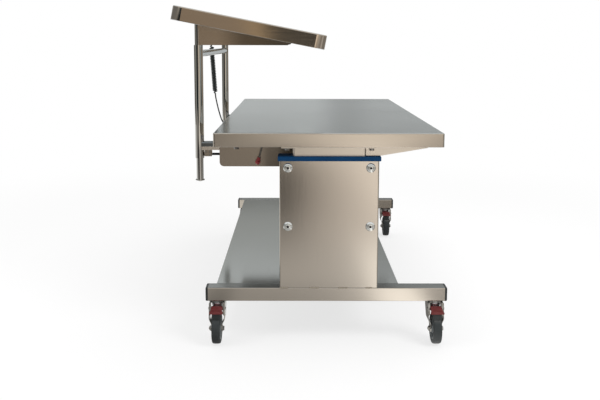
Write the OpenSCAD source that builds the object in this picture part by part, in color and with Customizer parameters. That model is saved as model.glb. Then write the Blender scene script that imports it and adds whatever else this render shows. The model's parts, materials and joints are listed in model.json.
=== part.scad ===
/* [Tabletop] */
// Width of the tabletop, from its back edge to its front edge
table_w = 762; // [720:1:800]
// Length of the tabletop
table_l = 1524; // [1450:1:1620]
// Height of the working surface with the lift down
table_h = 718; // [700:1:760]
// Depth of the tabletop's folded edge
table_edge = 47; // [40:1:55]
// Radius of the tabletop's corners seen from above
table_corner_r = 6; // [4:0.5:20]
// Radius of the fold along the top edges
fold_r = 4; // [2:0.5:6]
// Thickness of the folded stainless sheet
sheet_t = 1.6; // [1:0.1:2.4]
// Width of the hat channels inside the tabletop and the tier
channel_w = 60; // [40:1:80]

/* [Upper tier] */
// Depth of the tier along its slope
tier_depth = 512; // [480:1:540]
// Depth of the tier's folded edge
tier_edge = 47; // [40:1:55]
// Slope of the tier, down towards the front
tier_tilt = 11; // [8:0.5:13]
// Height of the tier's lower back edge above the tabletop
tier_rise = 369; // [350:1:400]
// How far the tier stands out behind the tabletop's back edge
tier_overhang = 137; // [125:1:150]
// Radius of the tier's corners seen from above
tier_corner_r = 25; // [10:1:40]
// Length of the wedge bracket under the tier
bracket_l = 324; // [280:1:330]
// Depth of the wedge bracket below the tier at the post
bracket_drop = 72; // [68:1:80]
// Outer width of the wedge bracket
bracket_w = 42; // [40:1:60]
// Thickness of the brackets' plate
plate_t = 3; // [2:0.5:5]

/* [Posts] */
// Distance of the posts behind the tabletop's back edge
post_offset = 76; // [70:1:85]
// Distance of the posts from the tabletop's ends
post_inset = 255; // [200:1:300]
// Diameter of the sliding inner post
post_d = 25.4; // [22:0.1:26]
// Diameter of the fixed outer sleeve
sleeve_d = 31.75; // [30:0.05:34]
// Wall of the post and sleeve tubes
tube_wall = 1.6; // [1.2:0.1:2]
// How far the sleeve reaches above the tabletop
sleeve_rise = 285; // [270:1:290]
// How far the sleeve reaches below the tabletop's underside
sleeve_drop = 74; // [70:1:90]
// How far the tier can be raised from here, which the inner posts show below their sleeves
tier_up = 70; // [67:1:90]
// Gap left between the foot flange and the sleeve with the tier raised
stop_gap = 9; // [4:1:20]
// How far the tier can be lowered from here before the sleeve's top meets the saddle
tier_down = 55; // [30:1:56]
// Distance of the cross bar's axis below the sleeve's top
bar_drop = 30; // [25:1:60]
// Diameter of the foot flange on the inner post
foot_d = 33; // [30:0.5:40]

/* [Latch] */
// Width of the arm that carries each post
arm_w = 28; // [26:1:36]
// Height of the arm
arm_h = 18; // [14:1:22]
// Radius of the arm's long edges
arm_r = 7; // [1:0.5:8]
// Distance of the arm's top below the tabletop's underside
arm_gap = 13; // [4:1:16]
// Height of the flat bar under the arm
bar_h = 13; // [8:1:14]
// Length of the latch block
block_l = 26; // [24:1:34]
// Height of the latch block
block_h = 23; // [20:1:26]
// Radius of the latch pad
pad_r = 6; // [4:0.5:7]
// Radius of the pull rod
rod_r = 2.35; // [1.5:0.05:3]
// Distance of the lever shaft from the tabletop's back edge
shaft_inset = 154; // [140:1:170]
// Distance of the lever shaft below the tabletop's underside
shaft_drop = 19; // [14:1:19]
// Radius of the lever shaft
shaft_r = 6; // [4:0.5:8]
// Length of the lever from the shaft to the middle of its knob
lever_l = 64; // [54:1:80]
// Lean of the lever from straight down
lever_lean = 15.4; // [0:0.1:20]
// Length of the knob
knob_l = 27; // [25:1:34]
// Diameter of the knob's ball
knob_d = 19; // [16:1:24]
// Turn of the lever that frees the posts
lever_turn = 15; // [8:1:16]
// Depth of the plate under the table that hides the latches
cross_h = 103; // [90:1:120]
// Length of that plate
cross_l = 530; // [500:1:560]

/* [Lift columns] */
// Width of the outer column
column_w = 332; // [320:1:340]
// Depth of the outer column
column_d = 68; // [66:1:80]
// Wall of the outer column
column_wall = 2; // [1.5:0.1:3]
// Width of the inner column
inner_w = 243; // [230:1:260]
// Depth of the inner column
inner_d = 50; // [48:1:54]
// Wall of the inner column
inner_wall = 3; // [2:0.1:3.5]
// How far the inner column shows when the lift is down
column_show = 33; // [32:1:60]
// Shift of the columns towards the front
column_shift = 3; // [-10:1:10]
// Travel of the lift
lift_travel = 300; // [200:1:320]
// Height of the blue collar
collar_h = 15; // [12:1:25]
// How far the collar stands out all round
collar_out = 6; // [4:1:10]
// Diameter of the cup washers on the columns
washer_d = 32; // [26:1:36]
// Distance between the cup screws across the column
screw_span = 276; // [250:1:285]
// Distance of the upper cup screws below the collar
screw_drop = 23; // [20:1:40]
// Distance from the upper cup screws down to the lower ones
screw_pitch = 199; // [100:1:260]

/* [Base] */
// Length of the rails with their end caps
rail_l = 820; // [780:1:860]
// Width of the rails
rail_w = 50; // [44:1:56]
// Height of the rails
rail_h = 47; // [40:1:55]
// Wall of the rails
rail_wall = 2.5; // [2:0.1:4]
// Height of the rails' underside above the floor
rail_clear = 142; // [140:1:150]
// Distance of the rails' outer faces inside the tabletop's ends
rail_inset = 15; // [10:1:30]
// Shift of the base towards the front
base_shift = -4; // [-15:1:15]
// Thickness of the rails' end caps
cap_t = 8; // [4:1:12]
// Width of the lower shelf
shelf_w = 625; // [560:1:700]
// Distance of the shelf's back edge from the rails' back ends
shelf_inset = 34; // [20:1:60]
// Depth of the shelf's side flanges
shelf_flange = 25; // [15:1:40]

/* [Casters] */
// Diameter of the wheels
wheel_d = 102; // [98:1:104]
// Width of the tyres
tyre_w = 29; // [24:1:30]
// Distance from the swivel axis back to the axle
trail = 35; // [30:1:38]
// Distance of the casters from the rails' ends
caster_inset = 39; // [36:1:50]
// Width of the fork at its crown
fork_w = 55; // [53:1:58]
// Radius of the axle bolt
axle_r = 5; // [4:0.5:6]
// Width of the brake shoe
shoe_w = 28; // [20:1:28]
// Gap that the pressed shoe keeps from the tyre
shoe_gap = 0.4; // [0.3:0.1:1]

/* [Coiled cord] */
// Diameter of the cord
cord_d = 6; // [4:0.5:6]
// Outer diameter of the curls
coil_d = 22; // [20:1:22]
// Number of curls
curls = 28; // [20:1:29]
// Place of the cord along the table, from its middle
cord_y = 180; // [100:1:250]

/* [Hidden] */
$fn = 48;

steel = [0.70, 0.66, 0.60];
satin = [0.60, 0.63, 0.62];
polished = [0.80, 0.80, 0.78];
blue = [0.05, 0.24, 0.48];
black = [0.10, 0.10, 0.11];
red = [0.60, 0.14, 0.15];
tyre_grey = [0.20, 0.22, 0.23];
core_grey = [0.45, 0.47, 0.48];
paint_grey = [0.35, 0.37, 0.40];

// Gaps: a pin in its bore, curved faces that pass, and flat faces that pass
running = 0.08;
passing = 0.3;
sliding = 0.5;
// Outer radius of the edges of folded and drawn tubes
tube_r = 3;
// A cutter reaches this far past the face that it opens
over = 1;

// Heights
table_under = table_h - table_edge;
rail_top = rail_clear + rail_h;
collar_top = table_under - column_show;
collar_lid = 3;
shroud_top = collar_top - collar_lid;
sleeve_top = table_h + sleeve_rise;
sleeve_bottom = table_under - sleeve_drop;
post_bottom = sleeve_bottom - tier_up - stop_gap;
bar_z = sleeve_top - bar_drop;
shaft_z = table_under - shaft_drop;
arm_top = table_under - arm_gap;
arm_bottom = arm_top - arm_h;
block_top = arm_bottom - bar_h;
rod_rise = 7;
rod_z = block_top - block_h + rod_rise;

// Places seen from above, measured from the middle of the tabletop
table_back = -table_w / 2;
base_x = base_shift;
rail_y = table_l / 2 - rail_inset - rail_w / 2;
column_x = column_shift;
column_y = table_l / 2 - rail_inset - column_d / 2;
post_x = table_back - post_offset;
post_y = table_l / 2 - post_inset;
post_r = post_d / 2;
sleeve_r = sleeve_d / 2;
cross_y = post_y + arm_w / 2;
cross_back = table_back - plate_t;
shaft_x = table_back + shaft_inset;
crank_l = shaft_z - rod_z;
lever_out = 16;
lever_y = cross_y + plate_t + lever_out;
shelf_back = base_x - rail_l / 2 + shelf_inset;
caster_x = rail_l / 2 - caster_inset;
wheel_r = wheel_d / 2;

// The tier's lower back edge, and its underside at a distance x from the middle of the table
tier_back_x = table_back - tier_overhang;
tier_back_z = table_h + tier_rise;
function tier_under(x) = tier_back_z - (x - tier_back_x) * tan(tier_tilt);
bracket_bottom = tier_under(post_x) - bracket_drop;

// The origin is on the floor under the middle of the whole object
reach_back = tier_back_x;
reach_front = max(base_x + rail_l / 2, table_w / 2);
reach_near = rail_y + trail + wheel_r;
reach_far = table_l / 2;
table_x = -(reach_back + reach_front) / 2;
table_y = (reach_near - reach_far) / 2;

// Casters, from their swivel axis
race_t = 3;
crown_t = 5;
crown_top = rail_clear - race_t;
boss_r = 18.5;
boss_taper = 3;
boss_h = 10;
kingpin_r = 6;
leg_t = 3;
tyre_clear = 1.7;
leg_in = tyre_w / 2 + tyre_clear;
axle_z = wheel_r;
pivot_y = -23;
pivot_drop = 23;
pivot_z = crown_top - pivot_drop;
pivot_r = 3;
hub_r = 37;
hub_half = leg_in - sliding;
pedal_w = 38;
pedal_lip_w = 45;

// Helpers for placing and mirroring
module at_table() translate([table_x, table_y, 0]) children();
module far_side() mirror([0, 1, 0]) children();
module both_ends() {
    children();
    far_side() children();
}
// A flat outline in X and Z, standing up, from y0 to y0 + t
module upright(y0, t) translate([0, y0 + t, 0]) rotate([90, 0, 0]) linear_extrude(t) children();
// An outline in Y and Z, drawn out along X from x0
module along_x(x0, l) translate([x0, 0, 0]) rotate([90, 0, 90]) linear_extrude(l) children();
module on_tier() translate([tier_back_x, 0, tier_back_z]) rotate([0, tier_tilt, 0]) children();

// Outlines
module rounded(w, h, r) {
    square([w - 2 * r, h], center = true);
    square([w, h - 2 * r], center = true);
    for (x = [-1, 1], y = [-1, 1]) translate([x * (w / 2 - r), y * (h / 2 - r)]) circle(r);
}
module tube_outline(w, h, r, t) difference() {
    rounded(w, h, r);
    rounded(w - 2 * t, h - 2 * t, max(r - t, 0.4));
}
module box_tube(w, h, r, t, l) linear_extrude(l) tube_outline(w, h, r, t);

// A slab whose upper edges are rolled over with radius r
module rolled_slab(w, l, h, corner, r) hull() {
    linear_extrude(h - r) rounded(w, l, corner);
    for (a = [22.5:22.5:90])
        linear_extrude(h - r + r * sin(a))
            rounded(w - 2 * r * (1 - cos(a)), l - 2 * r * (1 - cos(a)), corner - r * (1 - cos(a)) * 0.5);
}
// A sheet pan open below: its top, rolled edges and welded corners
module pan(w, l, h, corner) difference() {
    rolled_slab(w, l, h, corner, fold_r);
    translate([0, 0, -over]) linear_extrude(h + over - sheet_t)
        rounded(w - 2 * sheet_t, l - 2 * sheet_t, corner - sheet_t);
}
// The sheet that closes a pan from below
module closing_sheet(w, l, corner) linear_extrude(sheet_t)
    rounded(w - 2 * sheet_t, l - 2 * sheet_t, corner - sheet_t);
// Two long channels with three short ones between them, as tubes, in a pan of width w and length l
channel_end = 30;
module channel_grid(w, l, h) {
    long_x = w / 4;
    long_l = l - 2 * channel_end;
    for (s = [-1, 1]) translate([s * long_x, long_l / 2, h / 2]) rotate([90, 0, 0])
        box_tube(channel_w, h, tube_r, sheet_t, long_l);
    for (y = [-long_l / 3, 0, long_l / 3]) translate([-long_x + channel_w / 2, y, h / 2]) rotate([90, 0, 90])
        box_tube(channel_w, h, tube_r, sheet_t, 2 * long_x - channel_w);
}

// Base
module rail() difference() {
    along_x(base_x - rail_l / 2 + cap_t, rail_l - 2 * cap_t)
        translate([-rail_y, rail_clear + rail_h / 2]) tube_outline(rail_w, rail_h, tube_r, rail_wall);
    for (s = [-1, 1]) translate([base_x + s * caster_x, -rail_y, rail_clear - over])
        cylinder(r = kingpin_r, h = rail_wall + 2 * over);
}
module base_rail_near() color(steel) at_table() rail();
module base_rail_far() color(steel) at_table() far_side() rail();

plug_l = 16;
module rail_cap() {
    translate([0, -rail_y, rail_clear + rail_h / 2]) rotate([90, 0, 90]) {
        linear_extrude(cap_t) rounded(rail_w, rail_h, tube_r);
        translate([0, 0, -plug_l]) linear_extrude(plug_l)
            rounded(rail_w - 2 * rail_wall, rail_h - 2 * rail_wall, 0.5);
    }
}
module rail_end_caps() color(black) at_table() both_ends() translate([base_x, 0, 0]) {
    translate([rail_l / 2 - cap_t, 0, 0]) rail_cap();
    mirror([1, 0, 0]) translate([rail_l / 2 - cap_t, 0, 0]) rail_cap();
}

stretcher_w = 40;
stretcher_h = 30;
stretcher_wall = 2;
stretcher_span = 150;
module base_stretchers() color(steel) at_table() for (s = [-1, 1])
    translate([base_x + s * stretcher_span, rail_y - rail_w / 2, rail_top - sheet_t - stretcher_h / 2])
        rotate([90, 0, 0]) box_tube(stretcher_w, stretcher_h, tube_r, stretcher_wall, 2 * rail_y - rail_w);

module lower_shelf() color(satin) at_table()
    translate([shelf_back, -(rail_y - rail_w / 2), rail_top - shelf_flange]) difference() {
        cube([shelf_w, 2 * rail_y - rail_w, shelf_flange]);
        translate([sheet_t, -over, -over])
            cube([shelf_w - 2 * sheet_t, 2 * rail_y - rail_w + 2 * over, shelf_flange + over - sheet_t]);
    }

// Columns
column_r = 4;
inner_r = 6;
screw_r = 4;
screw_high = collar_top - collar_h - screw_drop;
screw_low = screw_high - screw_pitch;
module screw_places(depth) for (s = [-1, 1], z = [screw_low, screw_high])
    translate([column_x + s * screw_span / 2, -(column_y + column_d / 2) + depth, z]) rotate([90, 0, 0])
        children();
module shroud() difference() {
    translate([column_x, -column_y, rail_top])
        box_tube(column_w, column_d, column_r, column_wall, shroud_top - rail_top);
    screw_places(column_wall + over) cylinder(r = screw_r, h = column_wall + 2 * over);
}
module column_shroud_near() color(steel) at_table() shroud();
module column_shroud_far() color(steel) at_table() far_side() shroud();

module collar() translate([column_x, -column_y, 0]) difference() {
    translate([0, 0, collar_top - collar_h]) linear_extrude(collar_h)
        rounded(column_w + 2 * collar_out, column_d + 2 * collar_out, column_r + 1);
    translate([0, 0, collar_top - collar_h - over]) linear_extrude(collar_h - collar_lid + over)
        rounded(column_w, column_d, column_r);
    translate([0, 0, collar_top - collar_lid - over]) linear_extrude(collar_lid + 2 * over)
        rounded(inner_w + 2 * sliding, inner_d + 2 * sliding, inner_r + sliding);
}
module column_collars() color(blue) at_table() both_ends() collar();

// A dished cup washer with a socket screw through it
washer_h = 5;
dish_z = 3;
screw_head_r = 7.5;
screw_head_h = 3.5;
screw_shank = 8;
socket_d = 8;
module cup_screw() {
    rotate_extrude() polygon([
        [screw_r, 0], [washer_d / 2, 0], [washer_d / 2 - 0.5, 1.6], [washer_d / 2 - 3, 3.6],
        [washer_d / 2 - 5, washer_h], [screw_head_r + 1, dish_z], [screw_r, dish_z]
    ]);
    difference() {
        union() {
            translate([0, 0, -screw_shank]) cylinder(r = screw_r, h = screw_shank + dish_z + 1);
            translate([0, 0, dish_z]) cylinder(r1 = screw_head_r, r2 = screw_head_r - 1.5, h = screw_head_h);
        }
        translate([0, 0, dish_z + 0.5]) cylinder(d = socket_d, h = screw_head_h, $fn = 6);
    }
}
module column_screws() color(polished) at_table() both_ends() screw_places(0) cup_screw();

foot_t = 8;
module column_foot_plates() color(steel) at_table() both_ends()
    translate([column_x, -column_y, rail_top])
        linear_extrude(foot_t)
            rounded(column_w - 2 * column_wall, column_d - 2 * column_wall, column_r - column_wall);

// Each column's electric actuator: a tube with its motor beside it, and the rod that rises
actuator_r = 19;
actuator_rod_r = 12;
actuator_floor = 20;
// Length of rod that is still in its tube with the lift up
rod_hold = 20;
actuator_l = actuator_floor + lift_travel + rod_hold;
motor_r = 20;
motor_length = 90;
motor_gap = 6;
seat_l = 60;
seat_w = 32;
seat_h = 12;
module actuator() translate([column_x, -column_y, rail_top + foot_t]) {
    difference() {
        union() {
            cylinder(r = actuator_r, h = actuator_l);
            translate([-motor_length, 0, motor_r + motor_gap]) rotate([0, 90, 0])
                cylinder(r = motor_r, h = motor_length);
            translate([-seat_l, -seat_w / 2, 0]) cube([seat_l, seat_w, seat_h]);
        }
        translate([0, 0, actuator_floor]) cylinder(r = actuator_rod_r + running, h = actuator_l);
    }
}
module lift_actuators() color(paint_grey) at_table() both_ends() actuator();
head_t = 4;
rod_bottom = rail_top + foot_t + actuator_floor + sliding;
module actuator_rods() color(polished) at_table() both_ends() translate([column_x, -column_y, rod_bottom])
    cylinder(r = actuator_rod_r, h = table_under - head_t - rod_bottom);

module caster_places() for (s = [-1, 1]) translate([base_x + s * caster_x, -rail_y, 0]) children();
// The fixed half of each caster: swivel race, kingpin, stem and nut
race_r = 22;
nut_d = 22;
nut_h = 10;
stem_over = 4;
stem_in = 2;
stem_bottom = crown_top - crown_t - boss_h + stem_in;
stem_top = rail_clear + rail_wall + nut_h + stem_over;
module caster_stem() {
    translate([0, 0, crown_top + passing]) cylinder(r = race_r, h = race_t - passing);
    translate([0, 0, stem_bottom]) cylinder(r = kingpin_r, h = stem_top - stem_bottom);
    translate([0, 0, rail_clear + rail_wall]) cylinder(d = nut_d, h = nut_h, $fn = 6);
}
module caster_stems() color(polished) at_table() {
    caster_places() caster_stem();
    translate([0, 2 * rail_y, 0]) caster_places() caster_stem();
}

// Tabletop
module tabletop() color(satin) at_table() translate([0, 0, table_under])
    pan(table_w, table_l, table_edge, table_corner_r);
module tabletop_channels() color(steel) at_table() translate([0, 0, table_under + sheet_t])
    channel_grid(table_w, table_l, table_edge - 2 * sheet_t);
module tabletop_underside() color(steel) at_table() translate([0, 0, table_under])
    closing_sheet(table_w, table_l, table_corner_r);

inner_clear = 30;
inner_bottom = rail_top + inner_clear;
module inner_column() translate([column_x, -column_y, inner_bottom])
    box_tube(inner_w, inner_d, inner_r, inner_wall, table_under - head_t - inner_bottom);
module inner_column_near() color(steel) at_table() inner_column();
module inner_column_far() color(steel) at_table() far_side() inner_column();

// Each column's head: a flange plate under the table and a tapered arm towards the front
head_l = 320;
head_d = 92;
head_inset = 51;
collar_clear = 2;
arm_reach = table_w / 2 - head_inset;
gusset_bottom = collar_top + collar_clear;
module column_head() {
    translate([column_x - head_l / 2, -column_y - head_d / 2, table_under - head_t])
        cube([head_l, head_d, head_t]);
    for (s = [-1, 1]) upright(-column_y + s * (inner_d / 2 - plate_t / 2) - plate_t / 2, plate_t)
        polygon([
            [column_x + inner_w / 2, gusset_bottom],
            [column_x + column_w / 2 + collar_out, gusset_bottom],
            [arm_reach, table_under - head_t - 1], [arm_reach, table_under],
            [column_x + head_l / 2, table_under], [column_x + head_l / 2, table_under - head_t],
            [column_x + inner_w / 2, table_under - head_t]
        ]);
    upright(-column_y - inner_d / 2 + plate_t, inner_d - 2 * plate_t) polygon([
        [column_x + column_w / 2 + collar_out, gusset_bottom],
        [column_x + column_w / 2 + collar_out, gusset_bottom + plate_t],
        [arm_reach, table_under], [arm_reach, table_under - head_t - 1]
    ]);
}
module column_heads() color(steel) at_table() both_ends() column_head();

// The deep plate that carries the post arm and hides the latch
stringer_w = 40;
stringer_h = 30;
stringer_wall = 2;
stringer_span = 60;
corner_r = 16;
module cross_plate() difference() {
    upright(-cross_y - plate_t, plate_t) difference() {
        union() {
            translate([cross_back, table_under - cross_h + corner_r]) square([cross_l, cross_h - corner_r]);
            translate([cross_back + corner_r, table_under - cross_h])
                square([cross_l - 2 * corner_r, cross_h]);
            for (x = [corner_r, cross_l - corner_r])
                translate([cross_back + x, table_under - cross_h + corner_r]) circle(corner_r);
        }
        for (s = [-1, 1]) translate([s * stringer_span - stringer_w / 2, table_under - stringer_h])
            square([stringer_w, stringer_h + over]);
    }
    translate([shaft_x, -cross_y - plate_t - over, shaft_z]) rotate([-90, 0, 0])
        cylinder(r = shaft_r + running, h = plate_t + 2 * over);
}
module cross_plate_near() color(steel) at_table() cross_plate();
module cross_plate_far() color(steel) at_table() far_side() cross_plate();

module under_table_stringers() color(steel) at_table() {
    l = 2 * (column_y - head_d / 2);
    for (s = [-1, 1]) translate([s * stringer_span, l / 2, table_under - stringer_h / 2])
        rotate([90, 0, 0]) box_tube(stringer_w, stringer_h, tube_r, stringer_wall, l);
}

bolt_d = 16;
bolt_h = 8;
bolt_margin = 10;
bolt_back = 305;
flat_washer_d = 19;
flat_washer_t = 1.5;
module head_bolt() {
    translate([0, 0, -bolt_h]) cylinder(d = bolt_d, h = bolt_h, $fn = 6);
    translate([0, 0, -flat_washer_t]) cylinder(d = flat_washer_d, h = flat_washer_t);
}
module table_bolts() color(polished) at_table() both_ends() {
    for (s = [-1, 1], y = [-1, 1])
        translate([column_x + s * (head_l / 2 - 2 * bolt_margin), -column_y + y * (head_d / 2 - bolt_margin),
            table_under - head_t]) head_bolt();
    translate([-bolt_back, -column_y - head_d / 2 + bolt_margin, table_under]) head_bolt();
}

// Posts
module tube(r, t, h) difference() {
    cylinder(r = r, h = h);
    translate([0, 0, -over]) cylinder(r = r - t, h = h + 2 * over);
}
module at_post() translate([post_x, -post_y, 0]) children();
module sleeve() at_post() difference() {
    translate([0, 0, sleeve_bottom]) tube(sleeve_r, tube_wall, sleeve_top - sleeve_bottom);
    translate([0, 0, rod_z]) rotate([0, 90, 0]) cylinder(r = pad_r + passing, h = sleeve_r + over);
}
module post_sleeve_near() color(polished) at_table() sleeve();
module post_sleeve_far() color(polished) at_table() far_side() sleeve();

// Plastic guides inside each sleeve, at its top and above the latch window
bush_l = 30;
bush_inset = 2;
bush_lift = 4;
module sleeve_bushes() color(black) at_table() both_ends() at_post()
    for (z = [sleeve_top - bush_l - bush_inset, rod_z + pad_r + bush_lift]) translate([0, 0, z])
        difference() {
            cylinder(r = sleeve_r - tube_wall, h = bush_l);
            translate([0, 0, -over]) cylinder(r = post_r + running, h = bush_l + 2 * over);
        }

// The arm's reach under the table, and the latch block's wall round its bore
arm_back = 48;
block_gap = 2;
block_wall = 4;
block_back = post_x + sleeve_r + block_gap;
pad_l = 15;
pad_tip = post_x + post_r + passing;
module post_arm() difference() {
    union() {
        along_x(post_x, post_offset + arm_back) translate([-post_y, arm_bottom + arm_h / 2]) {
            rounded(arm_w, arm_h, arm_r);
            translate([-arm_w / 2, -arm_h / 2]) square([arm_w, arm_h / 2]);
        }
        translate([post_x, -post_y - arm_w / 2, arm_bottom - bar_h])
            cube([cross_back - post_x, arm_w, bar_h]);
        translate([block_back, -post_y - arm_w / 2 + 1, block_top - block_h])
            cube([block_l, arm_w - 2, block_h]);
    }
    at_post() translate([0, 0, block_top - block_h - over])
        cylinder(r = sleeve_r, h = table_under - block_top + block_h);
    translate([block_back - over, -post_y, rod_z]) rotate([0, 90, 0])
        cylinder(r = pad_r + passing, h = block_l - block_wall + over);
    translate([block_back, -post_y, rod_z]) rotate([0, 90, 0])
        cylinder(r = rod_r + passing, h = block_l + over);
}
module post_arms() color(steel) at_table() both_ends() post_arm();

module cross_bar() color(polished) at_table() difference() {
    translate([post_x, post_y, bar_z]) rotate([90, 0, 0]) tube(post_r, tube_wall, 2 * post_y);
    both_ends() at_post() translate([0, 0, bar_z - post_r - over])
        cylinder(r = sleeve_r, h = post_d + 2 * over);
}

// Upper tier
module upper_tray() color(steel) at_table() on_tier() translate([tier_depth / 2, 0, 0])
    pan(tier_depth, table_l, tier_edge, tier_corner_r);
module upper_tray_channels() color(steel) at_table() on_tier() translate([tier_depth / 2, 0, sheet_t])
    channel_grid(tier_depth, table_l, tier_edge - 2 * sheet_t);
module upper_tray_underside() color(steel) at_table() on_tier() translate([tier_depth / 2, 0, 0])
    closing_sheet(tier_depth, table_l, tier_corner_r);

// A wedge of two side plates, a floor between them and a saddle welded to the post
bracket_tip = post_x + bracket_l;
saddle_gap = 4;
saddle_h = bracket_drop - tier_down - saddle_gap;
saddle_over = 6;
bracket_back = post_x + 4;
floor_back = post_x + sleeve_r + plate_t;
tip_cut = 5;
module bracket_side(x0) polygon([
    [x0, bracket_bottom], [bracket_tip - tip_cut, bracket_bottom],
    [bracket_tip, bracket_bottom + tip_cut - 1], [bracket_tip, tier_under(bracket_tip)], [x0, tier_under(x0)]
]);
module tier_bracket() {
    upright(-post_y - bracket_w / 2, plate_t) bracket_side(bracket_back);
    upright(-post_y + bracket_w / 2 - plate_t, plate_t) bracket_side(floor_back);
    translate([floor_back, -post_y - bracket_w / 2 + plate_t, bracket_bottom])
        cube([bracket_tip - tip_cut - floor_back, bracket_w - 2 * plate_t, plate_t]);
    difference() {
        upright(-post_y - bracket_w / 2 + plate_t, bracket_w - 2 * plate_t) polygon([
            [post_x, tier_under(post_x) - saddle_h],
            [floor_back + saddle_over, tier_under(post_x) - saddle_h],
            [floor_back + saddle_over, tier_under(floor_back + saddle_over)], [post_x, tier_under(post_x)]
        ]);
        at_post() translate([0, 0, bracket_bottom]) cylinder(r = post_r, h = bracket_drop + over);
    }
}
module tier_bracket_near() color(steel) at_table() tier_bracket();
module tier_bracket_far() color(steel) at_table() far_side() tier_bracket();

module inner_post() difference() {
    at_post() translate([0, 0, post_bottom]) tube(post_r, tube_wall, tier_under(post_x) + 10 - post_bottom);
    on_tier() translate([0, -table_l / 2, 0]) cube([tier_depth, table_l, tier_edge]);
}
module inner_post_near() color(polished) at_table() inner_post();
module inner_post_far() color(polished) at_table() far_side() inner_post();

// The stop at the foot of each inner post: plug, flange and rounded tip
plug_rise = 20;
flange_t = 3;
tip_r = 11;
tip_h = 5;
module post_foot() at_post() translate([0, 0, post_bottom]) rotate_extrude() {
    square([post_r - tube_wall, plug_rise]);
    translate([0, -flange_t]) square([foot_d / 2, flange_t]);
    intersection() {
        translate([0, tip_r - tip_h - flange_t]) circle(r = tip_r);
        translate([0, -flange_t - tip_h]) square([tip_r, tip_h]);
    }
}
module post_feet() color(polished) at_table() both_ends() post_foot();

// Release lever: shaft, slotted cranks and the lever in one piece
crank_t = 4;
crank_w = 14;
crank_eye = 8;
// The pin slides outwards along the crank's slot as the lever turns
slot_end = 1.5;
slot_play = crank_l * (1 / cos(lever_turn) - 1) + slot_end;
shaft_end = 6;
lever_r = 3;
crank_boss = 5;
lever_boss = 3;
crank_gap = 1.7;
crank_side = rod_r + crank_gap;
slot_r = rod_r + sliding;
module crank() translate([shaft_x, -post_y + crank_side, shaft_z]) difference() {
    upright(0, crank_t) {
        circle(shaft_r + crank_boss);
        translate([-crank_w / 2, -crank_l]) square([crank_w, crank_l]);
        translate([0, -crank_l - slot_play]) circle(crank_eye);
    }
    upright(-over, crank_t + 2 * over) pin_slot();
}
module pin_slot() {
    translate([-slot_r, -crank_l - slot_play]) square([2 * slot_r, slot_play + slot_end]);
    for (z = [-slot_play, slot_end]) translate([0, -crank_l + z]) circle(slot_r);
}
module release_lever() color(black) at_table() {
    translate([shaft_x, -lever_y - shaft_end, shaft_z]) rotate([-90, 0, 0])
        cylinder(r = shaft_r, h = lever_y + cross_y + plate_t + 2 * shaft_end);
    both_ends() crank();
    translate([shaft_x, -lever_y, shaft_z]) {
        translate([0, shaft_end, 0]) rotate([90, 0, 0])
            cylinder(r = shaft_r + lever_boss, h = 2 * shaft_end);
        rotate([0, 180 + lever_lean, 0]) cylinder(r = lever_r, h = lever_l);
    }
}
// A ball knob with a short neck, screwed on to the lever's end
neck_d = 11;
module lever_knob() color(red) at_table() translate([shaft_x, -lever_y, shaft_z])
    rotate([0, 180 + lever_lean, 0]) translate([0, 0, lever_l - knob_l / 2]) difference() {
        union() {
            translate([0, 0, knob_l - knob_d / 2]) sphere(d = knob_d);
            cylinder(d1 = neck_d, d2 = 0.9 * knob_d, h = knob_l - 0.7 * knob_d);
        }
        translate([0, 0, -over]) cylinder(r = lever_r, h = knob_l / 2 + over);
    }

// A latch: pad, pull rod and the pin that the crank's slot drives
pad_in = 4;
pin_over = 2;
module latch() translate([0, -post_y, 0]) {
    difference() {
        translate([pad_tip - pad_in, 0, rod_z]) rotate([0, 90, 0]) cylinder(r = pad_r, h = pad_l + pad_in);
        translate([post_x, 0, rod_z - pad_r - over]) cylinder(r = post_r + passing, h = 2 * pad_r + 2 * over);
    }
    translate([pad_tip + pad_l - over, 0, rod_z]) rotate([0, 90, 0])
        cylinder(r = rod_r, h = shaft_x - pad_tip - pad_l + over);
    translate([shaft_x, 0, rod_z]) sphere(r = rod_r);
    translate([shaft_x, 0, rod_z]) rotate([-90, 0, 0])
        cylinder(r = rod_r, h = crank_side + crank_t + pin_over);
}
module latch_near() color(black) at_table() latch();
module latch_far() color(black) at_table() far_side() latch();

// Control box under the table, and the two glands of the cord
box_w = 120;
box_l = 160;
box_h = 60;
box_wall = 2;
box_x = table_back + 6;
gland_drop = 31;
gland_z = table_under - gland_drop;
gland_r = 9;
gland_nut_r = 7.5;
gland_l = 18;
module control_box() color(paint_grey) at_table() translate([box_x, cord_y - box_l / 2, table_under - box_h])
    difference() {
        cube([box_w, box_l, box_h]);
        translate([box_wall, box_wall, box_wall]) cube([box_w - 2 * box_wall, box_l - 2 * box_wall, box_h]);
    }
module gland(l) rotate_extrude() polygon([
    [0, 0], [gland_r, 0], [gland_r, 4], [gland_nut_r, 5], [gland_nut_r, l * 0.55], [cord_d, l * 0.6],
    [cord_d / 2 + 1.5, l], [0, l]
]);
module lower_cord_gland() color(black) at_table() translate([box_x, cord_y, gland_z])
    rotate([0, -90, 0]) gland(gland_l);

top_gland_inset = 28;
top_gland_x = tier_back_x + top_gland_inset;
top_gland_l = 32;
gland_in = 3;
top_exit_z = tier_under(top_gland_x) - top_gland_l;
module upper_cord_gland() color(black) at_table() difference() {
    translate([top_gland_x, cord_y, tier_under(top_gland_x) + gland_in]) rotate([180, 0, 0])
        gland(top_gland_l + gland_in);
    on_tier() translate([0, -table_l / 2, 0]) cube([tier_depth, table_l, tier_edge]);
}

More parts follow.
